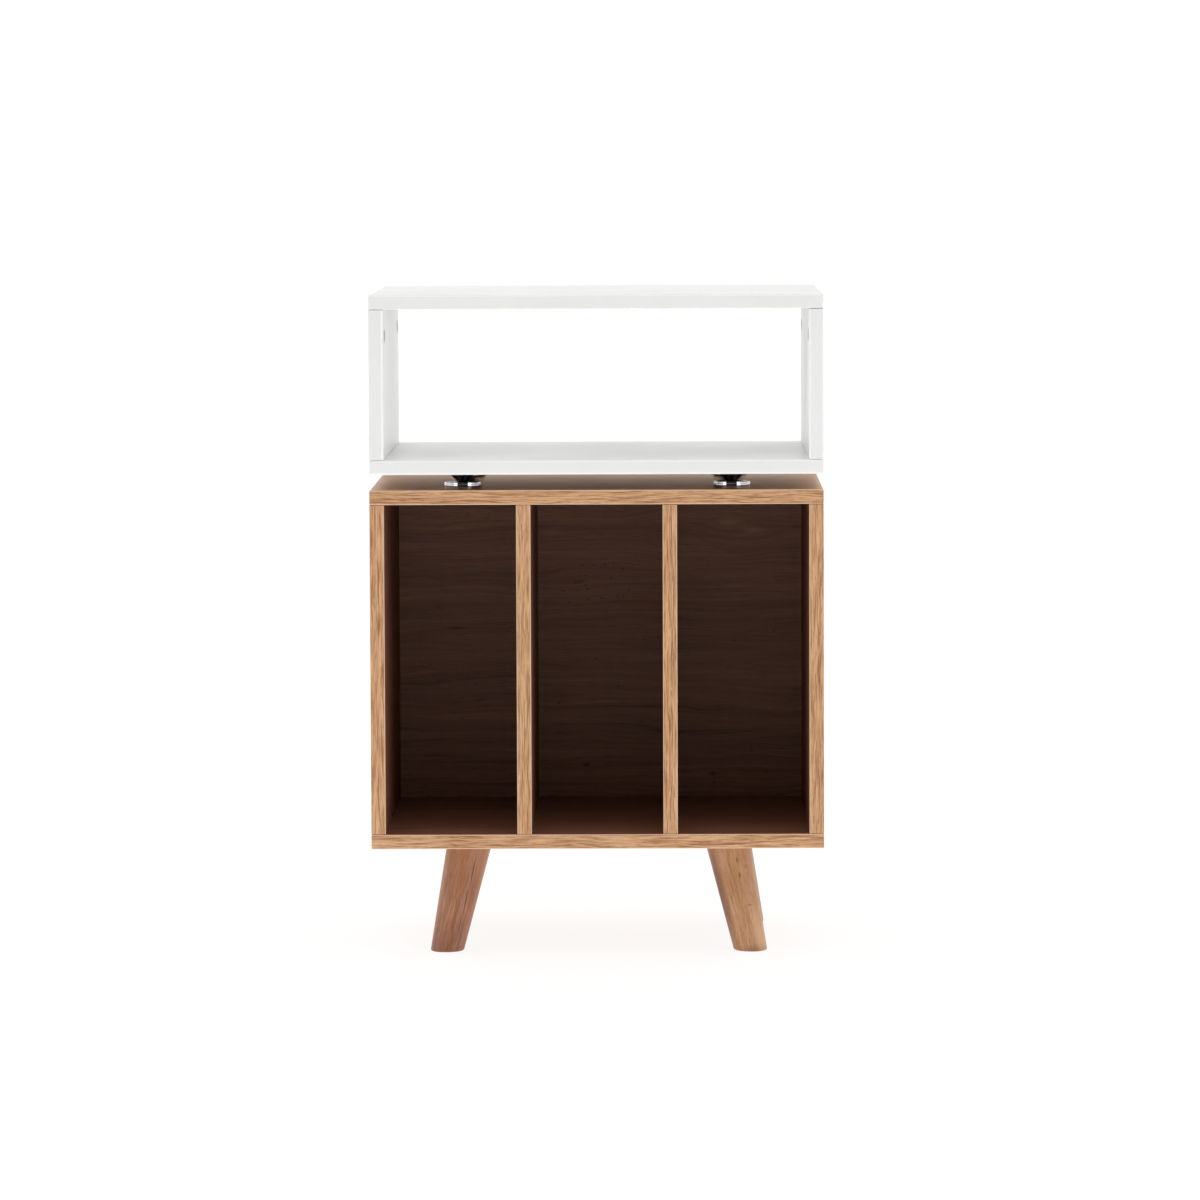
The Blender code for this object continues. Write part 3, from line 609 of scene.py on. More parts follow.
def grid_surface(rings: Array) -> Surface:
    """Skins a stack of rings.

    Neighbouring rings are joined by quads, each ring closes on itself, and the first and the
    last ring are closed by one flat face each.

    Args:
        rings: Points of shape (rings, points in a ring, 3), bottom ring first, each ring
            anticlockwise seen from the last ring.

    Returns:
        The closed surface.
    """
    count, around, _ = rings.shape
    row, column = np.meshgrid(np.arange(count - 1), np.arange(around), indexing="ij")
    nearer = row * around + column
    next_column = row * around + (column + 1) % around
    quads = np.stack([nearer, next_column, next_column + around, nearer + around], axis=-1)
    faces = quads.reshape(-1, 4).tolist()
    faces.append(list(range(around))[::-1])
    faces.append(list(range((count - 1) * around, count * around)))
    return Surface(rings.reshape(-1, 3), faces)


def slab(
    low: Point, high: Point, axis: int, corner: float, low_ease: float, high_ease: float, steps: int
) -> Surface:
    """Makes a flat board with eased arrises.

    The outline is a rectangle with quarter-circle corners, carried along the axis. Near each
    face it draws in by the ease times one minus the sine of a quarter turn, while the height
    follows the cosine, so each arris is a quarter circle.

    Args:
        low: The lowest corner.
        high: The highest corner.
        axis: The axis that the outline is carried along.
        corner: Radius of the outline's corners.
        low_ease: Radius of the arris round the low face.
        high_ease: Radius of the arris round the high face.
        steps: Faces in each quarter turn.

    Returns:
        The closed surface.
    """
    lowest, highest = np.array(low), np.array(high)
    middle, half = (lowest + highest) / 2, (highest - lowest) / 2
    across, up = (axis + 1) % 3, (axis + 2) % 3
    quarter = np.linspace(0, math.pi / 2, steps + 1)
    angle = (quarter[None, :] + math.pi / 2 * np.arange(4)[:, None]).ravel()
    sign_u = np.repeat([1, -1, -1, 1], steps + 1)
    sign_v = np.repeat([1, 1, -1, -1], steps + 1)
    drawn_in = np.concatenate([low_ease * (1 - np.sin(quarter)), high_ease * (1 - np.cos(quarter))])
    height = np.concatenate([
        -half[axis] + low_ease * (1 - np.cos(quarter)),
        half[axis] - high_ease * (1 - np.sin(quarter)),
    ])
    radius = np.maximum(corner - drawn_in, 0)[:, None]
    inward = (corner + np.maximum(drawn_in - corner, 0))[:, None]
    rings = np.empty((len(height), len(angle), 3))
    rings[..., across] = sign_u * (half[across] - inward) + radius * np.cos(angle)
    rings[..., up] = sign_v * (half[up] - inward) + radius * np.sin(angle)
    rings[..., axis] = height[:, None]
    return grid_surface(rings + middle)


def ring_points(radius: Array | float, height: Array | float, angle: Array) -> Array:
    """Gives the points (radius cos t, radius sin t, height) for arrays that fit together."""
    parts = (radius * np.cos(angle), radius * np.sin(angle), height)
    return np.stack(np.broadcast_arrays(*parts), axis=-1)


def round_angles(sides: int) -> Array:
    """Gives even angles once round."""
    return np.linspace(0, math.tau, sides, endpoint=False)


def turned(profile: list[Span] | Array, sides: int) -> Surface:
    """Turns a profile of (radius, height) pairs, bottom first, round the upright axis."""
    outline = np.asarray(profile, dtype=float)
    return grid_surface(ring_points(outline[:, :1], outline[:, 1:], round_angles(sides)))


def rounded(profile: list[Point], steps: int = 5) -> Array:
    """Rounds the corners of a profile.

    Each corner (radius, height, rounding) becomes the curve a(1-t)^2 + 2bt(1-t) + ct^2 between
    the points a and c, one rounding along each side of the corner b.

    Args:
        profile: Corners with their roundings; zero keeps a corner sharp.
        steps: Faces in each rounding.

    Returns:
        The (radius, height) pairs.
    """
    corners = np.array(profile)[:, :2]
    found = []
    share = np.linspace(0, 1, steps + 1)[:, None]
    for index, (point, (_, _, size)) in enumerate(zip(corners, profile)):
        if not size:
            found.append(point[None, :])
            continue
        towards = [corners[index - 1] - point, corners[index + 1] - point]
        start, end = (point + way * size / np.linalg.norm(way) for way in towards)
        found.append(start * (1 - share) ** 2 + 2 * point * share * (1 - share) + end * share**2)
    return np.concatenate(found)


def cross_prism(
    span: float, width: float, low: float, high: float, low_share: float = 1.0
) -> Surface:
    """Makes the cutter for a screwdriver's cross: one arm, turned four times, carried up.

    Args:
        span: From the end of one arm to the end of the next but one.
        width: Width of an arm.
        low: Height of its lower end.
        high: Height of its upper end.
        low_share: Size of the lower end as a share of the upper one.

    Returns:
        The closed surface.
    """
    arm = np.array([(width / 2, -width / 2), (span / 2, -width / 2), (span / 2, width / 2)])
    quarter = np.array([(0, -1), (1, 0)])
    outline = np.concatenate([arm @ np.linalg.matrix_power(quarter, step).T for step in range(4)])
    rings = np.zeros((2, len(outline), 3))
    rings[..., :2] = outline
    rings[0, :, :2] *= low_share
    rings[0, :, Z], rings[1, :, Z] = low, high
    return grid_surface(rings)


def facing(direction: Point | Array) -> Array:
    """Gives the turn that points the upright axis in a direction.

    Args:
        direction: A direction of length one.

    Returns:
        The turn, a matrix with the three new axes as its columns.
    """
    forward = np.array(direction, dtype=float)
    side = np.array((0.0, 1.0, 0.0)) if abs(forward[Y]) < 0.5 else np.array((1.0, 0.0, 0.0))
    across = np.cross(side, forward)
    across /= np.linalg.norm(across)
    return np.stack([across, np.cross(forward, across), forward], axis=1)


# Pieces


def add_object(name: str, data: bpy.types.ID) -> bpy.types.Object:
    """Makes an object of its data and puts it into the scene.

    Args:
        name: The object's name.
        data: Its mesh, lamp or camera.

    Returns:
        The object.
    """
    item = bpy.data.objects.new(name, data)
    bpy.context.scene.collection.objects.link(item)
    return item


def mesh_of(name: str, surface: Surface) -> Mesh:
    """Makes a clean mesh of a surface: doubles merged, faces outward.

    Args:
        name: Name of the mesh.
        surface: Its points and faces.

    Returns:
        The mesh.
    """
    mesh = bpy.data.meshes.new(name)
    mesh.from_pydata(surface.points.tolist(), [], surface.faces)
    shape = bmesh.new()
    shape.from_mesh(mesh)
    bmesh.ops.remove_doubles(shape, verts=shape.verts, dist=WELD)
    bmesh.ops.dissolve_degenerate(shape, edges=shape.edges, dist=WELD)
    bmesh.ops.recalc_face_normals(shape, faces=shape.faces)
    shape.to_mesh(mesh)
    shape.free()
    return mesh


def carved(name: str, surface: Surface, cutters: list[Surface]) -> Mesh:
    """Cuts shapes out of a surface.

    Args:
        name: Name of the mesh.
        surface: What is cut.
        cutters: Closed surfaces that are taken away, one after the other.

    Returns:
        The cut mesh.
    """
    mesh = mesh_of(name, surface)
    if not cutters:
        return mesh
    body = add_object(name + "_blank", mesh)
    tools = [add_object(name + "_tool", mesh_of(name + "_tool", cutter)) for cutter in cutters]
    for tool in tools:
        step = body.modifiers.new("cut", "BOOLEAN")
        step.operation, step.solver, step.object = "DIFFERENCE", "EXACT", tool
    finished = body.evaluated_get(bpy.context.evaluated_depsgraph_get())
    cut = bpy.data.meshes.new_from_object(finished)
    for item in (body, *tools):
        old = item.data
        bpy.data.objects.remove(item)
        bpy.data.meshes.remove(old)
    return cut


def values(items: bpy.types.bpy_prop_collection, name: str, width: int = 1) -> Array:
    """Reads one property of a mesh's points, corners or faces as a whole array.

    Args:
        items: The points, corners or faces.
        name: The property's name.
        width: How many numbers it has; one alone is a whole number.

    Returns:
        A row for each item.
    """
    found = np.empty(len(items) * width, dtype=np.int64 if width == 1 else float)
    items.foreach_get(name, found)
    return found if width == 1 else found.reshape(-1, width)


def placed_copy(mesh: Mesh, origin: Array, turn: Array = UNTURNED) -> Mesh:
    """Copies a mesh, with its points turned by a matrix and then carried to a point.

    Args:
        mesh: The mesh.
        origin: Where its zero point goes.
        turn: The matrix.

    Returns:
        The copy.
    """
    copy = mesh.copy()
    points = values(mesh.vertices, "co", 3) @ turn.T + origin
    copy.vertices.foreach_set("co", points.ravel())
    copy.update()
    return copy


def corner_points(mesh: Mesh) -> Array:
    """Gives the point at each face corner."""
    return values(mesh.vertices, "co", 3)[values(mesh.loops, "vertex_index")]


def bored_faces(mesh: Mesh, low: Point, high: Point, axis: int) -> Array:
    """Finds the faces of holes and grooves.

    Their middles lie inside the board's box: well away from its four edges, and a little
    below its two faces.

    Args:
        mesh: The board.
        low: The board's lowest corner.
        high: The board's highest corner.
        axis: The axis of its thickness.

    Returns:
        True or false for each face.
    """
    middles = values(mesh.polygons, "center", 3)
    least = np.full(3, BORE_MARGIN)
    least[axis] = BORE_DEPTH
    return (np.minimum(middles - low, np.array(high) - middles) > least).all(axis=1)


def write_grain(mesh: Mesh, grain: Array, arris: Array | None = None) -> None:
    """Writes a mesh's own attributes.

    Args:
        mesh: The mesh.
        grain: Each face corner's place along, across and into the grain.
        arris: How much of the painted highlight each face corner shows as an arris; without it,
            none.
    """
    places = mesh.attributes.new("grain", "FLOAT_VECTOR", "CORNER")
    places.data.foreach_set("vector", np.ascontiguousarray(grain).ravel())
    edge_highlight = mesh.attributes.new("arris", "FLOAT", "CORNER")
    edge_highlight.data.foreach_set("value", np.zeros(len(grain)) if arris is None else arris)


def lay_grain(mesh: Mesh, along: int, seed: float, edge_highlight: float, highlight_ends: bool = False) -> None:
    """Lays the grain over a board, face by face, as laminate and strips are laid.

    On each face the grain runs along the board, and on the board's ends it runs along their
    longer side. An arris is a face that looks along none of the three axes, and it shows a painted
    highlight; the ones at the object's two sides don't.

    Args:
        mesh: The board.
        along: The axis that the board's grain follows.
        seed: Which part of the endless grain this board is cut from.
        edge_highlight: How much of the painted highlight an arris shows.
        highlight_ends: Whether the arrises at the board's ends show the painted highlight too.
    """
    points = corner_points(mesh)
    normals = values(mesh.polygons, "normal", 3)
    normals = np.repeat(normals, values(mesh.polygons, "loop_total"), axis=0)
    extent = np.ptp(points, axis=0)
    size = np.abs(normals)
    looks = np.argmax(size, axis=1)
    choice = np.empty((3, 3), dtype=np.int64)
    for look in range(3):
        others = sorted({X, Y, Z} - {look}, key=lambda axis: -extent[axis])
        first = along if look != along else others[0]
        choice[look] = (first, next(axis for axis in others if axis != first), look)
    grain = np.take_along_axis(points, choice[looks], axis=1)
    shifts = (GRAIN_SHIFT * seed + 0 * looks, GRAIN_DRIFT * seed + FACE_SHIFT * looks, 0 * looks)
    grain += np.stack(shifts, axis=1)
    # Arrises take a painted highlight, except at the object's two sides and, unless asked, the
    # board's ends.
    at_side = np.abs(points[:, X]) > HALF_WIDTH - SIDE_BAND
    kept = at_side & (normals[:, X] * points[:, X] > 0)
    kept |= (size[:, along] > TILTED) & (not highlight_ends)
    write_grain(mesh, grain, np.where((size.max(axis=1) < SQUARE) & ~kept, edge_highlight, 0.0))


def wrap_grain(mesh: Mesh, middle: Array, axis: Array, seed: float) -> None:
    """Lays the place on a turned piece: round the axis, and out from it.

    The place is (angle times radius, radius plus height, height), so long streaks run round
    the piece as a lathe leaves them.

    Args:
        mesh: The turned piece.
        middle: A point on its axis.
        axis: The axis's direction.
        seed: A shift that makes each piece its own.
    """
    local = (corner_points(mesh) - middle) @ facing(axis)
    radius = np.hypot(local[:, X], local[:, Y])
    angle = np.arctan2(local[:, Y], local[:, X])
    round_it = angle * radius.max() + seed
    write_grain(mesh, np.stack([round_it, radius + local[:, Z], local[:, Z]], axis=1))


def make_piece(
    name: str, mesh: Mesh, finishes: list[Finish], node: str, kinds: Array | None = None
) -> None:
    """Turns a mesh into a piece of the cabinet that stands for one CAD node.

    Flat faces keep flat shading through weighted normals, while arrises shade round.

    Args:
        name: The piece's name.
        mesh: Its mesh, in its place.
        finishes: Its finishes, in the order of its faces' indices.
        node: The CAD node that it replaces.
        kinds: Which of the finishes each face wears; without it, all wear the first.
    """
    mesh.name = name
    mesh.materials.clear()
    for finish in finishes:
        mesh.materials.append(material_of(finish))
    if kinds is not None:
        mesh.polygons.foreach_set("material_index", kinds.astype(np.int32))
    mesh.shade_smooth()
    mesh.set_sharp_from_angle(angle=SHARP_ANGLE)
    piece = add_object(name, mesh)
    weighted = piece.modifiers.new("flat_faces", "WEIGHTED_NORMAL")
    weighted.keep_sharp = True
    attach(piece, "root")
    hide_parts(node)
    log.info("%s: %d faces, for %s", name, len(mesh.polygons), node)


def corner_signs(corner: str) -> tuple[int, int]:
    """Gives the signs of x and y for a corner's name."""
    return (-1 if corner.endswith("left") else 1), (-1 if corner.startswith("front") else 1)


def divider_middles() -> Span:
    """Gives the middle of each divider across the cabinet."""
    offset = ((2 * HALF_WIDTH - 4 * BOARD) / 3 + BOARD) / 2
    return -offset, offset


class Unit(Enum):
    """The two units: their word in names, their underside, and their cams' height."""

    CABINET = ("cabinet", CABINET_UNDERSIDE, CABINET_CEILING - CABINET_CAM_DROP)
    SHELF = ("shelf", SHELF_UNDERSIDE, SHELF_CEILING - SHELF_CAM_DROP)

    def __init__(self, word: str, underside: float, cam_height: float) -> None:
        """Keeps the unit's three values."""
        self.word, self.underside, self.cam_height = word, underside, cam_height


@dataclass
class Fastenings:
    """Cam locks and countersunk screws, with the holes that they sit in."""

    cam_radius: float = 0.0075
    cam_length: float = 0.0125
    cam_recess: float = 0.0004
    cam_ease: float = 0.0005
    cam_setback: float = 0.037
    face_rim: float = 0.0012
    face_foot: float = 0.0014
    face_sink: float = 0.0003
    rim_ease: float = 0.0002
    foot_ease: float = 0.0001
    cross_span: float = 0.0082
    cross_width: float = 0.0018
    cross_depth: float = 0.0022
    cross_floor_share: float = 0.8
    pocket_core: float = 0.0014
    pocket_reach: float = 0.0050
    pocket_half: float = 0.0037
    slot_half: float = 0.0023
    pocket_start: float = math.radians(20)
    pocket_turn: float = math.radians(210)
    pocket_steps: int = 36
    entry_sides: int = 32
    screw_setback: float = 0.050
    screw_length: float = 0.050
    screw_sink: float = 0.0004
    head_radius: float = 0.0050
    head_edge: float = 0.0004
    head_rim: float = 0.0008
    head_height: float = 0.0030
    screw_cross_span: float = 0.0046
    screw_cross_width: float = 0.0012
    screw_cross_depth: float = 0.0024
    shank_radius: float = 0.0032
    root_radius: float = 0.0024
    pitch: float = 0.0030
    shank_start: float = 0.0005
    thread_start: float = 0.012
    thread_run_in: float = 0.004
    thread_step: float = 0.0003
    thread_power: float = 1.5
    point_length: float = 0.006
    point_share: float = 0.1
    screw_sides: int = 24
    sides: int = 56

    def drum(self) -> Mesh:
        """Makes one cam drum, with its face at height zero looking up.

        The drum is turned. Its cross is a prism, its pocket is a stepped profile swept round
        the axis over the pocket's turn, and the head of the bolt enters by a round hole.

        Returns:
            The drum's mesh.
        """
        face, radius, ease = -self.cam_recess, self.cam_radius, self.cam_ease
        low, sunk = face - self.cam_length, face - self.face_sink
        profile = rounded([
            (0, low, 0), (radius, low, ease), (radius, face, ease),
            (radius - self.face_rim, face, self.rim_ease),
            (radius - self.face_foot, sunk, self.foot_ease), (0, sunk, 0),
        ])
        middle, outside = -BOARD / 2, radius + SEAM
        core, reach = self.pocket_core, self.pocket_reach
        half, slot = self.pocket_half, self.slot_half
        section = np.array([
            (core, -half), (reach, -half), (reach, -slot), (outside, -slot),
            (outside, slot), (reach, slot), (reach, half), (core, half),
        ])
        sweep = self.pocket_start + np.linspace(0, self.pocket_turn, self.pocket_steps)[:, None]
        pocket = grid_surface(ring_points(section[:, 0], middle + section[:, 1], sweep))
        end = self.pocket_start + self.pocket_turn
        entry = turned([(0, 0), (half, 0), (half, outside), (0, outside)], self.entry_sides)
        entry = entry.moved(middle * UP, facing((math.cos(end), math.sin(end), 0.0)))
        cross = cross_prism(
            self.cross_span, self.cross_width, face - self.cross_depth, SEAM,
            self.cross_floor_share,
        )
        return carved("cam_drum", turned(profile, self.sides), [cross, pocket, entry])

    def cam_place(self, unit: Unit, corner: str) -> tuple[Array, Array]:
        """Gives the middle of a drum's face on its side panel, and the turn that it has.

        Args:
            unit: The cabinet or the shelf.
            corner: The corner's name.

        Returns:
            The point and the turn.
        """
        side, end = corner_signs(corner)
        point = (side * INNER, end * (HALF_DEPTH - self.cam_setback), unit.cam_height)
        return np.array(point), facing((-side, 0, 0))

    def cam_holes(self, unit: Unit, word: str) -> list[Surface]:
        """Gives the round holes of one side panel's drums.

        Args:
            unit: The cabinet or the shelf.
            word: The side, left or right.

        Returns:
            The front hole and the rear one.
        """
        depth = self.cam_recess + self.cam_length + SEAM
        radius = self.cam_radius + SEAM
        plug = turned([(0, -depth), (radius, -depth), (radius, SEAM), (0, SEAM)], self.sides)
        return [plug.moved(*self.cam_place(unit, f"{end}_{word}")) for end in ("front", "rear")]

    def add_cams(self, unit: Unit) -> None:
        """Makes one unit's four cam drums in their side panels.

        Args:
            unit: The cabinet or the shelf.
        """
        drum = self.drum()
        for index, corner in enumerate(CORNERS):
            point, turn = self.cam_place(unit, corner)
            mesh = placed_copy(drum, point, turn)
            wrap_grain(mesh, point, turn[:, Z], index)
            name, node = f"zinc_cam_{unit.word}_{corner}", f"{unit.word}_cam_lock_{corner}"
            make_piece(name, mesh, [CAST_ZINC], node)
        bpy.data.meshes.remove(drum)

    def screw(self) -> Mesh:
        """Makes one long screw, pointing up, with its head's face at height zero.

        The height over the pitch, less the share of the turn, gives the place in the thread.
        The radius falls from crest to root by a power of that place's triangle wave.

        Returns:
            The screw's mesh.
        """
        edge, radius = self.head_edge, self.head_radius
        head = rounded([
            (0, 0, 0), (radius - edge, 0, edge / 2), (radius, edge, 0.75 * edge),
            (radius, self.head_rim, 0), (self.shank_radius, self.head_height, 0),
        ], 3)
        angle = round_angles(self.screw_sides)[None, :]
        first = self.head_height + self.shank_start
        height = np.arange(first, self.screw_length, self.thread_step)[:, None]
        turn = height / self.pitch - angle / math.tau
        thread = np.abs(2 * (turn - np.floor(turn + 0.5))) ** self.thread_power
        run_in = np.clip((height - self.thread_start) / self.thread_run_in, 0, 1)
        taper = np.clip((self.screw_length - height) / self.point_length, self.point_share, 1)
        deep = self.shank_radius - self.root_radius
        shaft = ring_points((self.shank_radius - deep * thread * run_in) * taper, height, angle)
        rings = np.concatenate([ring_points(head[:, :1], head[:, 1:], angle), shaft])
        cross = cross_prism(
            self.screw_cross_span, self.screw_cross_width, -SEAM, self.screw_cross_depth
        )
        return carved("long_screw", grid_surface(rings), [cross])

    def screw_places(self) -> dict[str, Point]:
        """Gives the foot of each long screw by its node's name.

        Returns:
            The points.
        """
        places = {}
        end = HALF_DEPTH - self.screw_setback
        middle = HALF_WIDTH - BOARD / 2
        for unit in Unit:
            for corner in CORNERS:
                side, depth = corner_signs(corner)
                places[f"{unit.word}_screw_{corner}"] = (side * middle, depth * end, unit.underside)
        for number, x in enumerate(divider_middles(), start=1):
            for word, depth in (("front", -1), ("rear", 1)):
                places[f"divider_screw_{word}_{number}"] = (x, depth * end, CABINET_UNDERSIDE)
        return places

    def screw_holes(self, unit: Unit) -> list[Surface]:
        """Gives the countersunk holes through one unit's bottom board.

        Args:
            unit: The cabinet or the shelf.

        Returns:
            One cutter for each screw.
        """
        head, shank = self.head_radius + SEAM, self.shank_radius + SEAM
        rim = self.screw_sink + self.head_rim + SEAM
        neck = self.screw_sink + self.head_height + SEAM
        high = BOARD + MM
        profile = [(0, -MM), (head, -MM), (head, rim), (shank, neck), (shank, high), (0, high)]
        hole = turned(profile, self.sides)
        places = self.screw_places().values()
        return [hole.moved(np.array(point)) for point in places if point[Z] == unit.underside]

    def add_screws(self) -> None:
        """Makes all twelve long screws."""
        screw = self.screw()
        for index, (node, point) in enumerate(self.screw_places().items()):
            foot = np.array(point) + self.screw_sink * UP
            mesh = placed_copy(screw, foot)
            wrap_grain(mesh, foot, UP, index)
            make_piece("plated_" + node, mesh, [PLATED_STEEL], node)
        bpy.data.meshes.remove(screw)


# The wooden cabinet


@dataclass
class WoodenCabinet:
    """The lower unit: oak outside, walnut inside, partly darkened as painted shade, with oak strips
    on the front edges.
    """

    fastenings: Fastenings
    ease: float = 0.0005
    strip: float = 0.0020
    strip_ease: float = 0.0010
    corner: float = 0.0016
    groove: float = 0.006
    back: float = 0.004
    back_inset: float = 0.012

    def board(
        self, name: str, node: str, low: Point, high: Point, axis: int, along: int, seed: float,
        inside: int = 0, cutters: list[Surface] | None = None, corner: float = 0.0,
        finish: Wood = WALNUT_AND_SHADE_LAMINATE,
    ) -> None:
        """Makes one board with eased arrises and lays its grain.

        Args:
            name: The piece's name.
            node: The CAD node that it replaces.
            low: Its lowest corner.
            high: Its highest corner.
            axis: The axis of its thickness.
            along: The axis of its grain.
            seed: Which part of the grain it shows.
            inside: On an oak board, the sign of the walnut face; zero is walnut all round.
            cutters: What is cut out of it.
            corner: Rounding of its long edges that run from front to back; zero eases all alike.
            finish: The finish of a board that is walnut all round.
        """
        if corner:
            shape = slab(low, high, Y, corner, 0.0, self.ease, 5)
        else:
            shape = slab(low, high, axis, self.ease, self.ease, self.ease, 3)
        mesh = carved(name, shape, cutters or [])
        finishes, kinds, slot = [finish], None, "walnut_board"
        if inside:
            # Inner faces wear walnut, partly darkened as painted shade; bored faces wear the
            # darkened core.
            finishes, slot = [OAK_LAMINATE, WALNUT_AND_SHADE_LAMINATE, BORED_CORE_AND_SHADE], "oak_board"
            turned_in = values(mesh.polygons, "normal", 3)[:, axis] * inside
            kinds = (turned_in > INNER_FACE).astype(np.int32)
            kinds[bored_faces(mesh, low, high, axis)] = finishes.index(BORED_CORE_AND_SHADE)
        lay_grain(mesh, along, seed, edge_highlight=0.6)
        make_piece(name, mesh, finishes, node, kinds)

    def front_strip(
        self, word: str, x_span: Span, z_span: Span, seed: float, corner: float
    ) -> None:
        """Makes the oak strip on one board's front edge, with its front arrises rounded.

        Args:
            word: The board's word in names.
            x_span: Where it starts and ends across.
            z_span: Where it starts and ends in height.
            seed: Which part of the grain it shows.
            corner: Rounding of its outline's corners.
        """
        low = (x_span[0], -HALF_DEPTH, z_span[0])
        high = (x_span[1], -HALF_DEPTH + self.strip, z_span[1])
        mesh = mesh_of("oak_strip_" + word, slab(low, high, Y, corner, self.strip_ease, 0.0, 5))
        along = X if x_span[1] - x_span[0] > z_span[1] - z_span[0] else Z
        lay_grain(mesh, along, seed, edge_highlight=0.9)
        make_piece("oak_strip_" + word, mesh, [OAK_STRIP], "edge_band_" + word)

    def build(self) -> None:
        """Makes the boards, the strips, the back panel and the cams."""
        front = -HALF_DEPTH + self.strip + SEAM
        rear_face = HALF_DEPTH - self.back_inset
        front_face = rear_face - self.back
        reach = INNER + self.groove
        low, high = CABINET_FLOOR - self.groove, CABINET_CEILING + self.groove
        groove_box = (-reach, front_face - SEAM, low), (reach, rear_face + SEAM, high)
        groove = slab(*groove_box, Y, 0.0, 0.0, 0.0, 1)
        full = (-HALF_WIDTH, HALF_WIDTH)
        self.board(
            "oak_top", "cabinet_top", (-HALF_WIDTH, front, CABINET_CEILING),
            (HALF_WIDTH, HALF_DEPTH, CABINET_TOP), Z, X, 1.0, -1, [groove], self.corner,
        )
        self.board(
            "oak_bottom", "cabinet_bottom", (-HALF_WIDTH, front, CABINET_UNDERSIDE),
            (HALF_WIDTH, HALF_DEPTH, CABINET_FLOOR), Z, X, 2.0, 1,
            [groove, *self.fastenings.screw_holes(Unit.CABINET)], self.corner,
        )
        z_span = (CABINET_FLOOR + SEAM, CABINET_CEILING - SEAM)
        for index, (word, side) in enumerate((("left", -1), ("right", 1))):
            x_span = sorted((side * INNER, side * HALF_WIDTH))
            cutters = [groove, *self.fastenings.cam_holes(Unit.CABINET, word)]
            self.board(
                "oak_side_" + word, "cabinet_side_" + word, (x_span[0], front, z_span[0]),
                (x_span[1], HALF_DEPTH, z_span[1]), X, Z, 3.0 + index, -side, cutters,
            )
            self.front_strip("side_" + word, x_span, z_span, 11.0 + index, SEAM)
        for number, middle in enumerate(divider_middles(), start=1):
            x_span = (middle - BOARD / 2, middle + BOARD / 2)
            self.board(
                f"walnut_divider_{number}", f"divider_{number}", (x_span[0], front, z_span[0]),
                (x_span[1], front_face - SEAM, z_span[1]), X, Z, 5.0 + number,
            )
            self.front_strip(f"divider_{number}", x_span, z_span, 13.0 + number, SEAM)
        self.front_strip("top", full, (CABINET_CEILING, CABINET_TOP), 17.0, self.corner)
        self.front_strip("bottom", full, (CABINET_UNDERSIDE, CABINET_FLOOR), 18.0, self.corner)
        self.board(
            "walnut_back", "cabinet_back_panel", (SEAM - reach, front_face, low + SEAM),
            (reach - SEAM, rear_face, high - SEAM), Y, X, 0.0, finish=WALNUT_BACK,
        )
        self.fastenings.add_cams(Unit.CABINET)


# The white shelf unit


@dataclass
class WhiteShelf:
    """The upper unit: four white boards with rounded arrises, open front and back."""

    fastenings: Fastenings
    ease: float = 0.0022
    joint_ease: float = 0.0006

    def board(
        self, word: str, low: Point, high: Point, eases: Span, seed: float, cutters: list[Surface]
    ) -> None:
        """Makes one white board.

        Args:
            word: Which board it is.
            low: Its lowest corner.
            high: Its highest corner.
            eases: Roundings of its lower and its upper arrises.
            seed: Which part of the lacquer's clouds it shows.
            cutters: What is cut out of it.
        """
        name = "white_" + word
        mesh = carved(name, slab(low, high, Z, self.ease, *eases, 7), cutters)
        lay_grain(mesh, Y, seed, edge_highlight=1.0, highlight_ends=True)
        kinds = bored_faces(mesh, low, high, X if word.startswith("side") else Z)
        # Faces of holes wear the darkened core, painted shade in the bores.
        finishes = [WHITE_LACQUER, BORED_CORE_AND_SHADE]
        make_piece(name, mesh, finishes, "shelf_" + word, kinds)

    def build(self) -> None:
        """Makes the four boards and the cams in the sides."""
        self.board(
            "top", (-HALF_WIDTH, -HALF_DEPTH, SHELF_CEILING), (HALF_WIDTH, HALF_DEPTH, SHELF_TOP),
            (self.joint_ease, self.ease), 1.0, [],
        )
        self.board(
            "bottom", (-HALF_WIDTH, -HALF_DEPTH, SHELF_UNDERSIDE),
            (HALF_WIDTH, HALF_DEPTH, SHELF_FLOOR), (self.ease, self.ease), 2.0,
            self.fastenings.screw_holes(Unit.SHELF),
        )
        for word, side in (("left", -1), ("right", 1)):
            x_span = sorted((side * INNER, side * HALF_WIDTH))
            self.board(
                "side_" + word, (x_span[0], -HALF_DEPTH, SHELF_FLOOR + SEAM),
                (x_span[1], HALF_DEPTH, SHELF_CEILING - 2 * SEAM),
                (self.joint_ease / 2, self.joint_ease), 4.0 + side,
                self.fastenings.cam_holes(Unit.SHELF, word),
            )
        self.fastenings.add_cams(Unit.SHELF)


# Legs and metal feet


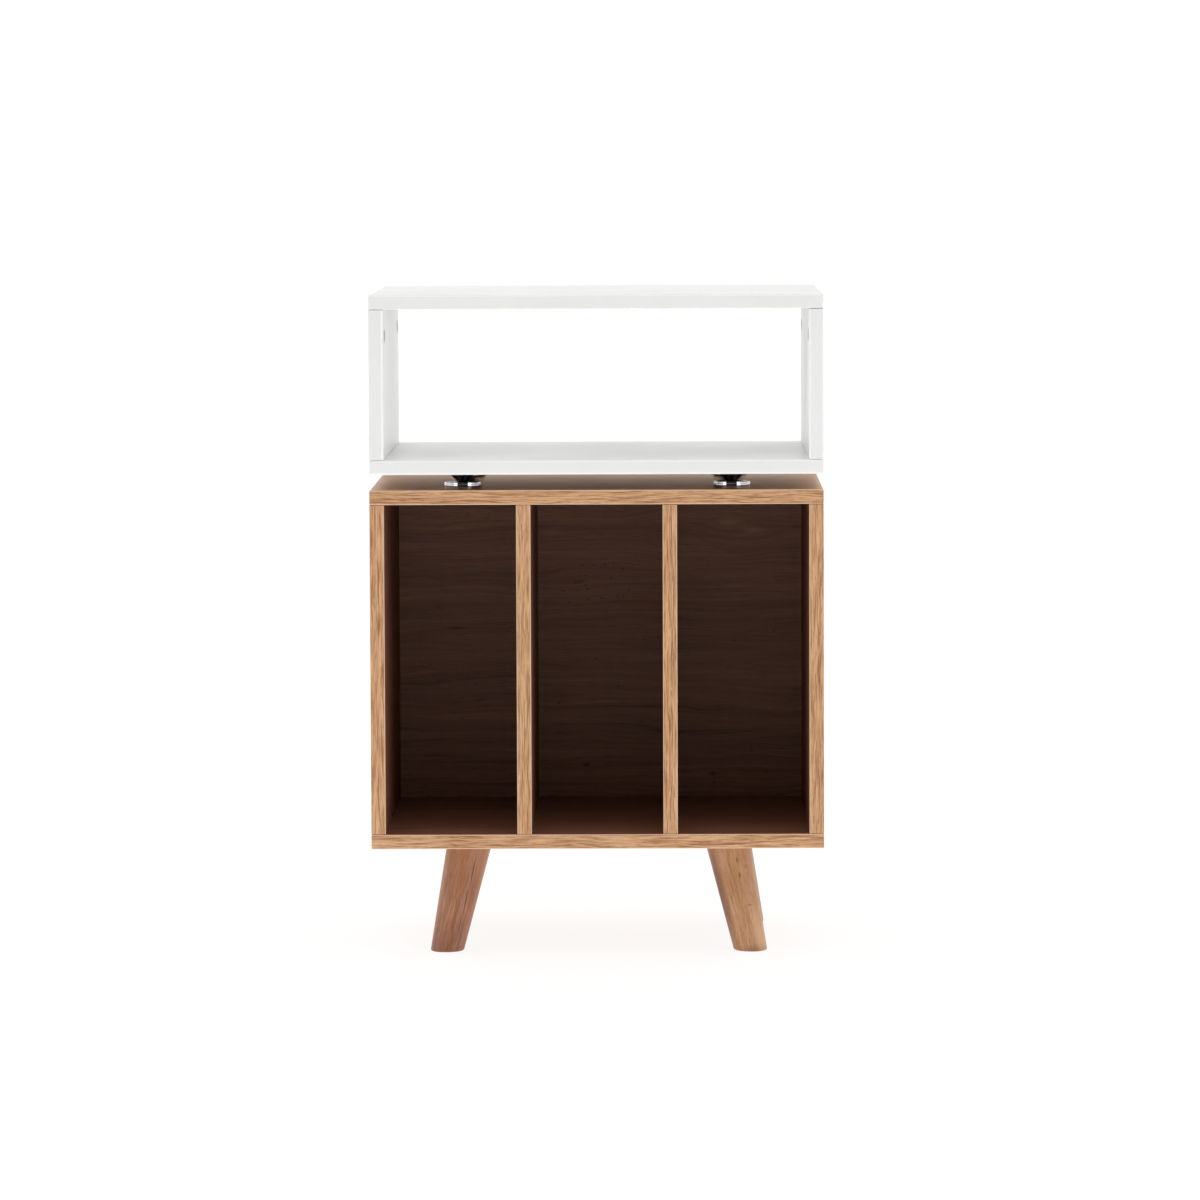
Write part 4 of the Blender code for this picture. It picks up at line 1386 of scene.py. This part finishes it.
@dataclass
class SplayedLegs:
    """Four tapered legs that lean outwards and are cut level at both ends."""

    top_radius: float = 0.025
    foot_radius: float = 0.01825
    setback: float = 0.106
    spread: float = 0.026
    foot_ease: float = 0.0025
    top_ease: float = 0.0006
    bolt_radius: float = 0.004
    bolt_reach: float = 0.012
    sides: int = 96
    ease_rings: int = 9
    shaft_rings: int = 38

    def surface(self, foot: Array, top: Array, turn: Array) -> Surface:
        """Works out one leg's surface.

        Straight lines run along the leaning cone, from the foot circle to the top circle,
        both square to the axis. Each line is cut at a row of level heights, which gives the
        level rings. Near the two ends a ring draws in towards its middle by a quarter circle,
        and above the leg the rings close in to the bolt and rise with it.

        Args:
            foot: Middle of the foot, on the floor.
            top: Middle of the top.
            turn: The turn that points the upright axis along the leg.

        Returns:
            The closed surface.
        """
        angle = round_angles(self.sides)
        circle = ring_points(1.0, 0.0, angle) @ turn.T
        low, high = foot + self.foot_radius * circle, top + self.top_radius * circle
        quarter = np.linspace(0, math.pi / 2, self.ease_rings)
        shaft = np.linspace(self.foot_ease, top[Z] - self.top_ease, self.shaft_rings + 2)[1:-1]
        heights = np.concatenate([
            self.foot_ease * (1 - np.cos(quarter)), shaft,
            top[Z] - self.top_ease * (1 - np.sin(quarter)),
        ])
        drawn_in = np.concatenate([
            self.foot_ease * (1 - np.sin(quarter)), np.zeros(self.shaft_rings),
            self.top_ease * (1 - np.cos(quarter)),
        ])
        share = (heights[:, None] - low[None, :, Z]) / (high[:, Z] - low[:, Z])
        rings = low + share[..., None] * (high - low)
        middles = (foot + (heights / top[Z])[:, None] * (top - foot))[:, None, :]
        outward = rings - middles
        size = np.linalg.norm(outward, axis=2, keepdims=True)
        rings = middles + outward * (1 - drawn_in[:, None, None] / size)
        radius, reach = self.bolt_radius, self.bolt_reach
        bolt = np.array([(radius, 0), (radius, reach - MM), (radius - MM, reach)])
        rod = ring_points(bolt[:, :1], bolt[:, 1:], angle) + top
        return grid_surface(np.concatenate([rings, rod]))

    def build(self) -> None:
        """Makes the four legs, each with its own wood's grain along it."""
        for corner, wood in LEG_WOODS.items():
            side, end = corner_signs(corner)
            top = np.array((
                side * (HALF_WIDTH - self.setback), end * (HALF_DEPTH - self.setback),
                CABINET_UNDERSIDE - SEAM,
            ))
            foot = np.array((top[X] + side * self.spread, top[Y] + end * self.spread, 0.0))
            turn = facing((top - foot) / np.linalg.norm(top - foot))
            name = "turned_leg_" + corner
            mesh = mesh_of(name, self.surface(foot, top, turn))
            write_grain(mesh, ((corner_points(mesh) - foot) @ turn)[:, [Z, X, Y]])
            make_piece(name, mesh, [wood], "leg_" + corner)


@dataclass
class IsolationFeet:
    """Four black cones that stand with their tips in chrome discs."""

    cone_radius: float = 0.017
    rim: float = 0.0015
    tip_radius: float = 0.0045
    tip_ease: float = 0.0008
    rim_ease: float = 0.0005
    setback_x: float = 0.100
    setback_y: float = 0.094
    disc_radius: float = 0.02075
    disc_height: float = 0.0040
    dimple_radius: float = 0.006
    dimple_depth: float = 0.0010
    disc_taper: float = 0.0003
    groove: float = 0.0002
    groove_half: float = 0.0003
    ease: float = 0.0003
    fine_ease: float = 0.0001
    stud_radius: float = 0.004
    stud_length: float = 0.012
    sides: int = 128

    def cone_profile(self) -> Array:
        """Gives the cone's profile; height zero is the white underside.

        Returns:
            The (radius, height) pairs.
        """
        tip = 2 * SEAM + self.disc_height - self.dimple_depth - GAP
        radius, stud, length = self.cone_radius, self.stud_radius, self.stud_length
        return rounded([
            (0, tip, 0), (self.tip_radius, tip, self.tip_ease),
            (radius, -SEAM - self.rim, self.rim_ease), (radius, -SEAM, self.ease),
            (stud, -SEAM, 0), (stud, length - MM, 0), (stud - MM, length, 0), (0, length, 0),
        ])

    def disc_profile(self) -> Array:
        """Gives the disc's profile, with a fine groove turned round its edge.

        Returns:
            The (radius, height) pairs.
        """
        low, high, radius = SEAM, SEAM + self.disc_height, self.disc_radius
        middle, half, fine = (low + high) / 2, self.groove_half, self.fine_ease
        floor, dimple = high - self.dimple_depth, self.dimple_radius
        return rounded([
            (0, low, 0), (radius, low, self.ease), (radius - fine, middle - half, fine),
            (radius - self.groove, middle, fine), (radius - 2 * fine, middle + half, fine),
            (radius - self.disc_taper, high, self.ease), (dimple, high, 2 * fine),
            (dimple - self.dimple_depth, floor, 2 * fine), (0, floor, 0),
        ])

    def build(self) -> None:
        """Makes the cones and the discs."""
        cone = turned(self.cone_profile(), self.sides)
        disc = turned(self.disc_profile(), self.sides)
        kinds = (
            ("black_cone_", "isolation_cone_", "black_chrome", cone, SHELF_UNDERSIDE, BLACK_CHROME),
            ("chrome_disc_", "cone_disc_", "chrome_disc", disc, CABINET_TOP, CHROME),
        )
        for index, corner in enumerate(CORNERS):
            side, end = corner_signs(corner)
            x, y = side * (HALF_WIDTH - self.setback_x), end * (HALF_DEPTH - self.setback_y)
            for name, node, slot, shape, height, finish in kinds:
                point = np.array((x, y, height))
                mesh = mesh_of(name + corner, shape.moved(point))
                wrap_grain(mesh, point, UP, index)
                make_piece(name + corner, mesh, [finish], node + corner)


# The studio


def pose(across: Array, up: Array, away: Array, place: Point) -> Matrix:
    """Gives the matrix of a lamp or camera, which looks against its third axis.

    Args:
        across: Its first axis.
        up: Its second axis.
        away: Its third axis.
        place: Where it stands.

    Returns:
        The matrix.
    """
    matrix = np.eye(4)
    matrix[:3] = np.stack([across, up, away, place], axis=1)
    return Matrix(matrix)


@dataclass
class Studio:
    """White floor, even white surroundings, soft lamps and the photograph's camera.

    The camera's values come from fitting it to the object's edges in the photograph. Each lamp
    has a name, a place, a width and height, and its watts.
    """

    lens: float = 181.992
    eye: Point = (0.07445, -6.86022, 0.91427)
    right: Point = (0.999939, 0.010347, -0.003819)
    down: Point = (-0.00301, -0.07714, -0.997016)
    floor_half: float = 14.0
    floor_shown: float = 0.86
    floor_glow: float = 0.5
    glow_left: float = 0.2
    glow_aside: Span = (0.8, 2.2)
    glow_behind: Span = (0.0, 1.2)
    light: float = 1.06
    side_shade: float = 0.5
    wall_radius: float = 9.0
    wall_span: Span = (0.02, 5.0)
    wall_turn: Span = (math.radians(-48), math.radians(33))
    wall_columns: int = 13
    aim: Point = (0, 0, 0.35)
    lamps: tuple[tuple[str, Point, Span, float], ...] = (
        ("lamp_right", (2.4, -2.6, 0.6), (1.2, 1.0), 8.0),
        ("lamp_left", (-2.4, -2.6, 0.6), (1.2, 1.0), 6.5),
        ("lamp_back_right", (2.2, 2.6, 0.75), (1.2, 0.5), 4.5),
        ("lamp_back_left", (-2.2, 2.6, 0.75), (1.2, 0.5), 4.5),
    )

    def add_camera(self) -> None:
        """Makes the camera and makes it the scene's own."""
        data = bpy.data.cameras.new("photo_camera")
        data.sensor_fit, data.sensor_width, data.lens = "HORIZONTAL", 36.0, self.lens
        data.clip_end = 100.0
        right = np.array(self.right) / np.linalg.norm(self.right)
        up = -np.array(self.down)
        up -= right * (up @ right)
        up /= np.linalg.norm(up)
        camera = add_object("photo_camera", data)
        camera.matrix_world = pose(right, up, np.cross(right, up), self.eye)
        bpy.context.scene.camera = camera

    def add_stage(
        self, name: str, points: Array, faces: list[list[int]], material: Material
    ) -> bpy.types.Object:
        """Makes a sheet that isn't part of the object.

        Args:
            name: Its name.
            points: Its points.
            faces: Its faces.
            material: Its material.

        Returns:
            The sheet.
        """
        mesh = bpy.data.meshes.new(name)
        mesh.from_pydata(points.tolist(), [], faces)
        mesh.materials.append(material)
        sheet = add_object(name, mesh)
        return sheet

    def seen_white(self, tree: Tree) -> Socket:
        """Gives one where a ray comes from the camera, a gloss or a glass, else zero.

        Args:
            tree: The tree of the floor or the world.

        Returns:
            The switch.
        """
        either = add_node(tree, "LightPath", {}, "Is Camera Ray")
        path = either.node
        for name in ("Is Glossy Ray", "Is Transmission Ray"):
            pair = {0: either, 1: path.outputs[name]}
            either = add_node(tree, "Math", pair, operation="MAXIMUM")
        return either

    def add_floor(self) -> None:
        """Makes the pale floor, which shows white but keeps the object's soft shadow.

        To the eye it glows and takes a little of the light, so that a shadow shows. Besides the
        light that it reflects, it sends up a glow of its own, painted light though the floor is no
        lamp, which falls off aside and behind.
        """
        material, tree = new_material("painted_floor_matt")
        dim = add_node(tree, "BsdfDiffuse", {"Color": "7C7C7C"})
        glow = add_node(tree, "Emission", {"Strength": self.floor_shown})
        shown = add_node(tree, "AddShader", {0: dim, 1: glow})

        place = PatternSource.OBJECT.place(tree)
        split = add_node(tree, "SeparateXYZ", {0: place}).node.outputs
        aside = add_node(tree, "Math", {0: split[X]}, operation="ABSOLUTE")
        strength = self.floor_glow
        for way, (near, far) in ((aside, self.glow_aside), (split[Y], self.glow_behind)):
            fall = {0: way, 1: near, 2: far, 3: 1.0, 4: self.glow_left}
            left = add_node(tree, "MapRange", fall)
            strength = add_node(tree, "Math", {0: left, 1: strength}, operation="MULTIPLY")
        pale = add_node(tree, "BsdfDiffuse", {"Color": "F1F1F1"})
        # The floor's own glow, painted light that falls off aside and behind.
        sent_up_glow = add_node(tree, "Emission", {"Strength": strength})
        plain = add_node(tree, "AddShader", {0: pale, 1: sent_up_glow})

        mixed = add_node(tree, "MixShader", {0: self.seen_white(tree), 1: plain, 2: shown})
        add_node(tree, "OutputMaterial", {"Surface": mixed})
        material.cycles.emission_sampling = "NONE"
        half = self.floor_half
        points = np.array([(-half, -half, 0), (half, -half, 0), (half, half, 0), (-half, half, 0)])
        self.add_stage("studio_floor", points, [[0, 1, 2, 3]], material)

    def add_dark_wall(self) -> None:
        """Makes the unlit wall behind the camera, a bent sheet that only reflections show.

        Its points are (radius sin t, -radius cos t, height) with t across the wall, which are a
        ring's points a quarter turn back.
        """
        material, tree = new_material("wall_black_cloth")
        cloth = add_node(tree, "BsdfDiffuse", {"Color": "303030"})
        add_node(tree, "OutputMaterial", {"Surface": cloth})
        count = self.wall_columns
        turn = np.linspace(*self.wall_turn, count) - math.pi / 2
        rows = ring_points(self.wall_radius, np.array(self.wall_span)[:, None], turn)
        faces = [[left, left + 1, left + count + 1, left + count] for left in range(count - 1)]
        wall = self.add_stage("dark_wall", rows.reshape(-1, 3), faces, material)
        wall.visible_camera = False

    def add_surroundings(self) -> None:
        """Makes the white world: plain white to the eye, a soft light that is weaker from aside.

        The light's strength falls by the shade times the square of the direction's x.
        """
        world = bpy.data.worlds.new("white_surroundings")
        bpy.context.scene.world = world
        world.use_nodes = True
        tree = world.node_tree
        tree.nodes.clear()
        aside = add_node(tree, "SeparateXYZ", {0: add_node(tree, "TexCoord", {}, "Generated")}, X)
        square = add_node(tree, "Math", {0: aside, 1: aside}, operation="MULTIPLY")
        soft = {0: square, 1: 0.0, 2: 1.0, 3: self.light, 4: self.light - self.side_shade}
        pair = {0: self.seen_white(tree), 1: add_node(tree, "MapRange", soft)}
        strength = add_node(tree, "Math", pair, operation="MAXIMUM")
        white = add_node(tree, "Background", {"Color": "FFFFFF", "Strength": strength})
        add_node(tree, "OutputWorld", {"Surface": white})

    def add_lamp(self, name: str, place: Point, size: Span, watts: float) -> None:
        """Makes one soft square lamp that looks at the middle of the object.

        Args:
            name: Its name.
            place: Where it stands.
            size: Its width and height.
            watts: Its strength.
        """
        data = bpy.data.lights.new(name, "AREA")
        data.shape, data.size, data.size_y, data.energy = "RECTANGLE", *size, watts
        away = np.array(place) - self.aim
        away /= np.linalg.norm(away)
        across = np.cross(UP, away)
        across /= np.linalg.norm(across)
        lamp = add_object(name, data)
        lamp.matrix_world = pose(across, np.cross(away, across), away, place)
        lamp.visible_camera = False

    def build(self) -> None:
        """Makes the whole studio."""
        bpy.context.scene.view_settings.view_transform = "Standard"
        self.add_camera()
        self.add_surroundings()
        self.add_floor()
        self.add_dark_wall()
        for lamp in self.lamps:
            self.add_lamp(*lamp)


def main() -> None:
    """Builds the studio and then every part of the cabinet, from the floor up."""
    logging.basicConfig(level=logging.INFO, format="%(message)s")
    Studio().build()
    fastenings = Fastenings()
    SplayedLegs().build()
    WoodenCabinet(fastenings).build()
    IsolationFeet().build()
    WhiteShelf(fastenings).build()
    fastenings.add_screws()
    for unit in Unit:
        for corner in CORNERS:
            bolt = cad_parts[f"{unit.word}_cam_bolt_{corner}"]
            for slot in bolt.material_slots:
                slot.material = material_of(BOLT_STEEL)
    log.info("sizes written")


if __name__ == "__main__":
    main()
